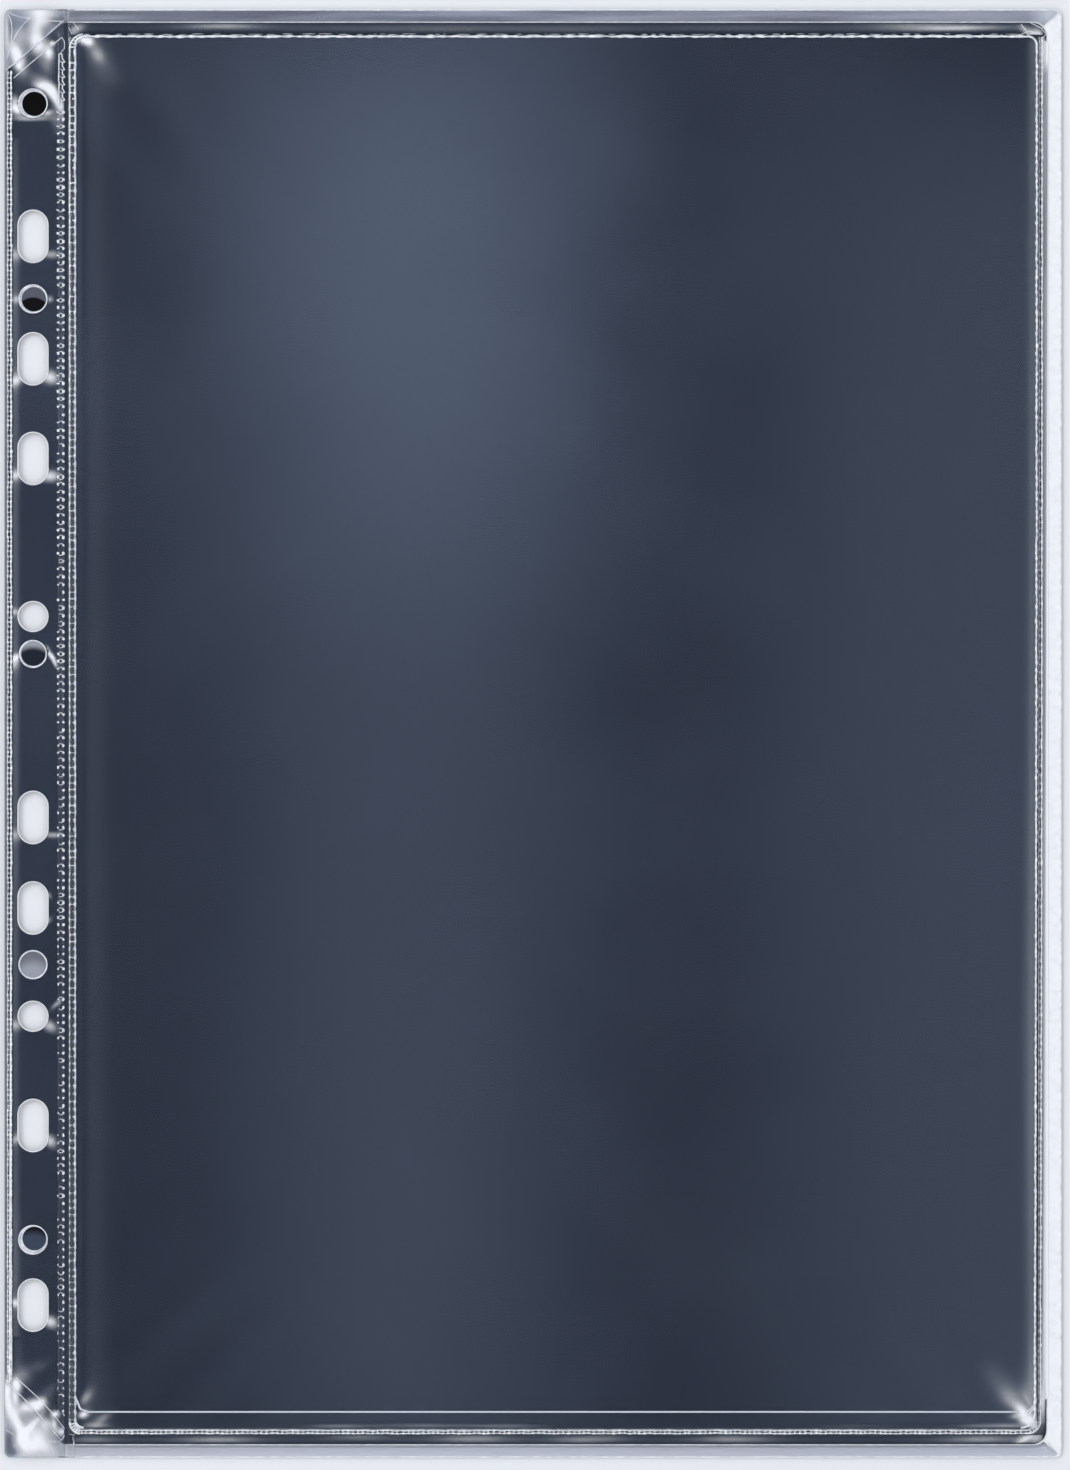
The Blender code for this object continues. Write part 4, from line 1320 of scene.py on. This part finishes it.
strip_level = flat(FUSED_LEVEL + STEP_RISE)
base_level = flat(0.8 * MM)
flange_level = flat(FLANGE_TOP + SHEEN_GAP)
painted_sheen = make_painted_sheen("painted_sheen_film", (0.74, 0.83, 1.0), (0.94, 0.935, 0.965))
TOP_SHEEN = (
    (7.8, 0.6, 2.5, 1.3, 0, 0.82), (7.2, 3.6, 1.5, 1.2, -80, 0.5), (10.6, 1.2, 1.6, 1.0, 0, 0.2),
    (8.6, 2.6, 1.6, 1.0, -20, 0.4), (7.2, 7.1, 2.1, 1.2, -76, 1.15), (2.7, 9.8, 2.3, 1.0, -66, 1.2),
    (3.0, 12.2, 1.1, 0.6, -62, 0.6), (9.8, 9.5, 1.3, 0.8, -80, 0.92), (9.4, 12.6, 1.8, 1.3, -60, 0.24),
    (10.6, 7.5, 0.5, 0.4, 0, 0.8), (8.6, 16.9, 1.6, 0.65, -14, 0.95), (11.1, 19.0, 2.3, 0.75, -57, 1.05),
    (7.6, 15.4, 2.0, 0.9, -30, 0.22), (12.2, 21.2, 1.5, 0.6, -70, 0.65), (2.7, 21.9, 1.3, 0.8, -30, 1.0),
    (2.4, 20.2, 1.2, 0.8, -80, 0.5), (6.0, 23.9, 3.6, 0.5, 0, 0.5), (9.5, 22.7, 1.0, 0.5, 10, 0.6),
    (0.5, 4.0, 4.0, 0.4, -90, 0.5), (11.9, 5.6, 1.2, 0.7, -40, 0.15), (3.3, 5.6, 2.4, 1.5, -60, 0.36),
    (3.4, 14.8, 2.4, 1.4, 90, 0.14), (10.0, 18.0, 1.2, 0.8, -40, 0.4), (11.6, 25.0, 2.6, 1.2, 90, 0.24),
)
FOOT_SHEEN = (
    (0.7, 12.8, 3.0, 0.6, -82, 0.9), (2.4, 8.4, 2.8, 0.8, -66, 0.9), (3.9, 4.2, 2.0, 0.9, -80, 0.85),
    (5.6, 6.6, 2.5, 0.5, 48, 0.75), (6.2, 2.2, 2.4, 2.0, 0, 0.75), (7.0, 5.4, 2.6, 1.8, -40, 0.64),
    (9.2, 7.4, 1.3, 0.9, -45, 0.7), (9.2, 2.2, 2.0, 1.3, -38, 0.42), (11.8, 1.0, 1.6, 0.9, 0, 0.2),
    (6.9, 11.2, 1.4, 1.0, 20, 0.97), (8.2, 12.2, 0.8, 0.7, 40, 0.6), (4.8, 11.2, 1.8, 0.9, 30, 0.72),
    (2.7, 16.0, 1.2, 0.8, -80, 1.0), (2.4, 13.4, 1.9, 0.65, -88, 0.85), (11.2, 9.6, 0.7, 0.55, 0, 1.0),
    (11.0, 7.4, 1.1, 0.5, -80, 0.6), (12.9, 5.7, 1.2, 0.6, 0, 0.9), (0.9, 15.4, 1.4, 0.5, 90, 0.6),
    (4.4, 18.0, 2.2, 1.2, -50, 0.2), (10.2, 15.0, 2.0, 1.2, 50, 0.16), (3.0, 23.6, 4.0, 1.4, 90, 0.14),
    (7.4, 20.0, 3.0, 1.4, 20, 0.17),
)
RING_LOBES = (
    (-113.1, 16.6, 1.2, 0.5, 22, 0.9), (-113.4, 15.4, 1.2, 0.8, 70, 0.4),
    (-105.6, 17.2, 1.3, 0.35, -48, 0.9), (-104.6, 15.4, 1.2, 0.3, -64, 0.7),
    (-106.6, 18.9, 1.0, 0.4, -30, 0.4),
)
SLOT_LOBES = (
    (-105.4, 104.8, 2.0, 0.8, 0, 0.5), (-113.3, 104.7, 1.5, 1.0, 0, 0.36),
    (-113.1, 77.3, 1.6, 0.9, 35, 0.66), (-105.7, 78.0, 1.7, 1.2, -20, 0.8),
    (-113.2, 56.5, 1.6, 0.9, 20, 0.55), (-105.6, 56.3, 1.7, 1.0, 0, 0.8), (-113.5, 26.6, 0.9, 0.6, 0, 0.45),
    (-105.0, -22.2, 2.2, 0.6, 0, 0.5), (-113.3, -22.2, 1.5, 1.0, 0, 0.33),
    (-106.0, -35.3, 0.9, 0.5, -50, 0.42), (-106.0, -41.0, 0.9, 0.5, 50, 0.42),
    (-113.0, 95.0, 0.8, 0.7, 0, 0.45), (-105.8, 95.0, 0.8, 0.7, 0, 0.5),
    (-105.8, -64.0, 1.6, 1.0, -30, 0.6), (-113.2, -63.8, 1.3, 0.9, 0, 0.38),
    (-104.0, -59.0, 1.6, 0.45, 43, 0.5), (-113.0, -88.7, 1.1, 0.7, 45, 0.42),
    (-105.7, -89.1, 1.4, 1.0, -45, 0.68), (-113.3, -124.6, 0.9, 0.7, 0, 0.7),
    (-105.6, -128.7, 1.4, 1.0, -30, 0.8),
)
SEAM_LOBES = (
    (-113.3, 110.0, 46.0, 1.0, 90, 0.17), (-113.3, 30.0, 56.0, 1.0, 90, 0.15),
    (-113.3, -50.0, 56.0, 1.0, 90, 0.15), (-113.3, -122.0, 26.0, 1.2, 90, 0.18),
)
# Painted highlight and sheen over the margin's corners, round its holes and beside its seam
sheen_skins = [
    add_sheen_skin((SHEET_LEFT + 0.1, SHEET_TOP - 28), (SHEET_LEFT + 13.1, SHEET_TOP - 0.1), 0.26,
             corner_lobes(TOP_SHEEN, True), margin_level(TOP_CUT, True)),
    add_sheen_skin((SHEET_LEFT + 0.1, -SHEET_TOP + 0.1), (SHEET_LEFT + 13.1, -SHEET_TOP + 26), 0.26,
             corner_lobes(FOOT_SHEEN, False), margin_level(FOOT_CUT, False)),
    add_sheen_skin((SHEET_LEFT + 1.9, -132.0), (SHEET_LEFT + 12.6, 130.0), 0.34,
             RING_LOBES + SLOT_LOBES + SEAM_LOBES, strip_level),
]
margin_sheen = join(sheen_skins, "margin_sheen")
finish_piece(margin_sheen, [painted_sheen], "margin", "fused_film")

left = POCKET_LEFT / MM
right = POCKET_RIGHT / MM
foot_line = POCKET_FOOT / MM
mouth_line = MOUTH / MM
# Faint strips of painted sheen where the film bends: beside the ladder, with a clear line next to it, and by
# the fore line
SPINE_STRIPS = ((left + 3.9, 0.0, 900, 4.7, 90, 0.12), (left + 0.9, 0.0, 900, 1.1, 90, -0.1))
FORE_STRIPS = ((right - 0.8, 0.0, 900, 1.65, 90, 0.235), (right - 2.6, -72, 55, 1.8, 90, 0.08))
MOUTH_LOBES = (
    (left + 2.3, mouth_line - 0.6, 1.05, 0.75, -10, 1.25),
    (left + 3.1, mouth_line - 1.2, 0.8, 0.5, -40, 0.6), (left + 5.0, mouth_line - 3.9, 1.8, 1.2, -58, 0.32),
    (left + 8.0, mouth_line - 8.0, 4.0, 2.4, -58, 0.1), *SPINE_STRIPS,
)
FORE_LOBES = (
    (right - 2.0, foot_line + 1.8, 1.1, 0.8, 140, 1.0),
    (right - 3.9, foot_line + 4.4, 1.4, 0.85, 142, 0.62),
    (right - 4.6, foot_line + 2.9, 1.4, 0.5, 10, 0.36), (right - 3.3, foot_line + 2.0, 0.8, 0.6, 0, 0.45),
    *FORE_STRIPS, (right - 12.5, foot_line + 0.7, 6.0, 0.45, 0, 0.28),
    (right - 6.5, foot_line + 0.7, 3.0, 0.45, 0, 0.22), (right - 3.2, foot_line + 3.4, 0.8, 0.5, 120, 0.35),
    (right - 6.2, foot_line + 6.8, 2.6, 1.9, 130, 0.31),
    (right - 9.4, foot_line + 11.4, 5.0, 3.2, 130, 0.16),
    (right - 1.0, foot_line + 11.0, 8.0, 1.4, 90, 0.08), (right - 2.8, foot_line + 8.0, 2.4, 1.4, 90, 0.1),
    (right - 2.2, foot_line + 6.2, 1.5, 0.25, 122, 0.2),
)
SPINE_LOBES = (
    (left + 2.4, foot_line + 6.8, 1.8, 0.9, 54, 0.34), (left + 1.9, foot_line + 3.2, 0.9, 0.6, 20, 0.9),
    (left + 6.0, foot_line + 2.2, 2.0, 0.8, 34, 0.26), (left + 4.5, foot_line + 0.8, 3.0, 0.45, 0, 0.24),
    *SPINE_STRIPS,
)
TOP_BAND = (
    (0, 154.3, 900, 0.9, 0, 0.13), (-68, 154.8, 7, 0.5, 0, 0.36), (-42, 154.3, 12, 0.8, 0, 0.05),
    (-20, 154.2, 14, 0.9, 0, 0.12), (8, 154.0, 12, 0.9, 0, 0.1), (46, 154.4, 16, 0.8, 0, 0.08),
    (92, 154.3, 8, 0.4, 1, 0.5), (85, 154.9, 10, 0.6, 0, 0.26), (-100.0, 153.9, 1.8, 0.9, 40, 0.4),
    (107.6, 153.9, 1.2, 0.5, -40, 0.3), (109.2, 153.2, 1.0, 0.5, -15, 0.75),
    (110.7, 153.0, 0.9, 0.6, -45, 0.7),
)
FOOT_BAND = (
    (0, -154.5, 900, 0.8, 0, 0.13), (-96, -154.5, 4, 0.7, 0, 0.2), (-69, -154.5, 7, 0.6, 0, 0.3),
    (-38, -154.0, 6, 0.5, 0, 0.2), (-13, -154.3, 7, 0.7, 0, 0.28), (10, -154.5, 5, 0.7, 0, 0.22),
    (17, -154.2, 4, 0.6, 0, 0.12), (44, -154.4, 7, 0.7, 0, 0.26), (98, -154.4, 7, 0.7, 1, 0.28),
    (108.0, -154.1, 1.8, 0.6, 26, 0.7), (110.4, -154.0, 1.6, 1.0, 45, 0.36),
)
CARD_BAND = (
    (-43, -151.5, 7, 0.45, 0, 0.3), (-24, -151.3, 8, 0.4, 0, 0.26), (-6, -151.5, 8, 0.45, 0, 0.28),
    (70, -151.4, 10, 0.4, 1, 0.18),
)
# Along the flange, by the corners of the fore edge, painted highlights
FLANGE_LOBES = (
    (right + 0.9, 149.6, 3.2, 0.7, 90, 0.75), (right + 0.8, 143.0, 5.0, 0.6, 90, 0.3),
    (right + 0.9, -146.0, 4.0, 0.8, 90, 0.7), (right + 0.6, -136.0, 7.0, 0.6, 90, 0.42),
)
# Painted highlight and sheen on the pocket film, on the flange and along the bands over the dark ground
sheen_skins = [
    add_sheen_skin((left + 0.2, mouth_line - 24), (left + 22, mouth_line - 0.2), 0.4, MOUTH_LOBES, film_level),
    add_sheen_skin((right - 30, foot_line + 0.3), (right - 0.3, foot_line + 32), 0.4, FORE_LOBES, film_level),
    add_sheen_skin((left + 0.2, foot_line + 0.3), (left + 24, foot_line + 32), 0.4, SPINE_LOBES, film_level),
    add_sheen_skin((left + 0.2, foot_line + 32), (left + 20, mouth_line - 24), 0.8, SPINE_STRIPS, film_level),
    add_sheen_skin((right - 8.0, foot_line + 32), (right - 0.3, mouth_line - 0.6), 0.6, FORE_STRIPS, film_level),
    add_sheen_skin((right + 0.35, 136.0), (right + 1.6, mouth_line), 0.2, FLANGE_LOBES, flange_level),
    add_sheen_skin((right + 0.35, foot_line + 1.0), (right + 1.6, -126.0), 0.2, FLANGE_LOBES, flange_level),
    add_sheen_skin((left - 1.0, mouth_line + 0.5), (right + 1.2, mouth_line + 3.0), 0.3, TOP_BAND, base_level),
    add_sheen_skin((left, -155.3), (right + 1.0, -153.5), 0.3, FOOT_BAND, base_level),
    add_sheen_skin((left + 25, foot_line + 0.3), (right - 31, foot_line + 3.2), 0.4, CARD_BAND, film_level),
]
page_sheen = join(sheen_skins, "page_sheen")
finish_piece(page_sheen, [painted_sheen], "page", "fused_film")


# Stage
# A pale floor under the sheet, a soft key from the spine side, and weak cards above.
FLOOR_SIZE = 6.0
FLOOR_LEVEL = -0.4 * MM
PAPER_CLOUD = 9.0
deselect_all()
bpy.ops.mesh.primitive_plane_add(size=FLOOR_SIZE, location=(0.0, 0.0, FLOOR_LEVEL))
floor = bpy.context.object
floor.name = "floor"
bpy.ops.object.transform_apply()
paper, paper_tree, paper_shader = new_material("floor_paper")
paper_cloud = add_noise(paper_tree, PAPER_CLOUD, 5.0)
paper_shade = add_mix(paper_tree, paper_cloud, (0.84, 0.84, 0.86), (0.86, 0.86, 0.88))
feed(paper_shader, {"Base Color": paper_shade, "Roughness": 0.9})
floor.data.materials.append(paper)


def add_card_light(name, place, width, length, radiance, colour, level):
    lamp = bpy.data.lights.new(name, "AREA")
    lamp.shape = "RECTANGLE"
    lamp.size = width
    lamp.size_y = length
    lamp.energy = radiance * width * length * math.pi
    lamp.color = colour
    ob = bpy.data.objects.new(name, lamp)
    ob.location = place
    if not level:
        aim = Vector((0.0, 0.0, 0.0)) - Vector(place)
        ob.rotation_euler = aim.to_track_quat("-Z", "Y").to_euler()
    ob.visible_camera = False
    bpy.context.collection.objects.link(ob)


COOL = (0.95, 0.97, 1.0)
BLUE = (0.56, 0.72, 1.0)
PATCH_BLUE = (0.52, 0.69, 1.0)
add_card_light("spine_key", (-1.0, 0.45, 1.2), 0.8, 0.5, 4.0, COOL, False)
add_card_light("over_strip", (-0.058, -0.02, 1.42), 0.12, 0.66, 0.86, BLUE, True)
add_card_light("over_patch", (-0.05, 0.205, 1.42), 0.105, 0.22, 3.3, PATCH_BLUE, True)
add_card_light("over_fore", (0.245, -0.08, 1.42), 0.24, 0.72, 0.72, BLUE, True)

# The world is dim straight above and bright all round, as a room of pale walls is
SKY_HEIGHT = (0.8, 0.965)
SKY_STRENGTH = (1.1, 0.06)
SKY_COLOUR = (0.94, 0.965, 1.0)
world = bpy.data.worlds.new("studio")
bpy.context.scene.world = world
world.use_nodes = True
sky = world.node_tree
sky_way = add_node(sky, "TexCoord", {})["Generated"]
sky_up = add_node(sky, "SeparateXYZ", {"Vector": sky_way})["Z"]
sky_light = add_range(sky, sky_up, SKY_HEIGHT, SKY_STRENGTH, interpolation_type="SMOOTHSTEP")
feed(sky.nodes["Background"], {"Color": SKY_COLOUR, "Strength": sky_light})

# A long lens far above looks straight down and takes in the height of the sheet
FRAME_HEIGHT = 0.32156
LENS = 150.0
SENSOR = 36.0
VIEW_CENTRE = (0.44 * MM, -0.33 * MM)
VIEW_LEVEL = 1.2 * MM
view = bpy.data.cameras.new("camera")
view.lens = LENS
view.sensor_width = SENSOR
camera = bpy.data.objects.new("camera", view)
camera.location = (*VIEW_CENTRE, VIEW_LEVEL + FRAME_HEIGHT * LENS / SENSOR)
bpy.context.collection.objects.link(camera)
bpy.context.scene.camera = camera
bpy.context.scene.view_settings.view_transform = "Standard"
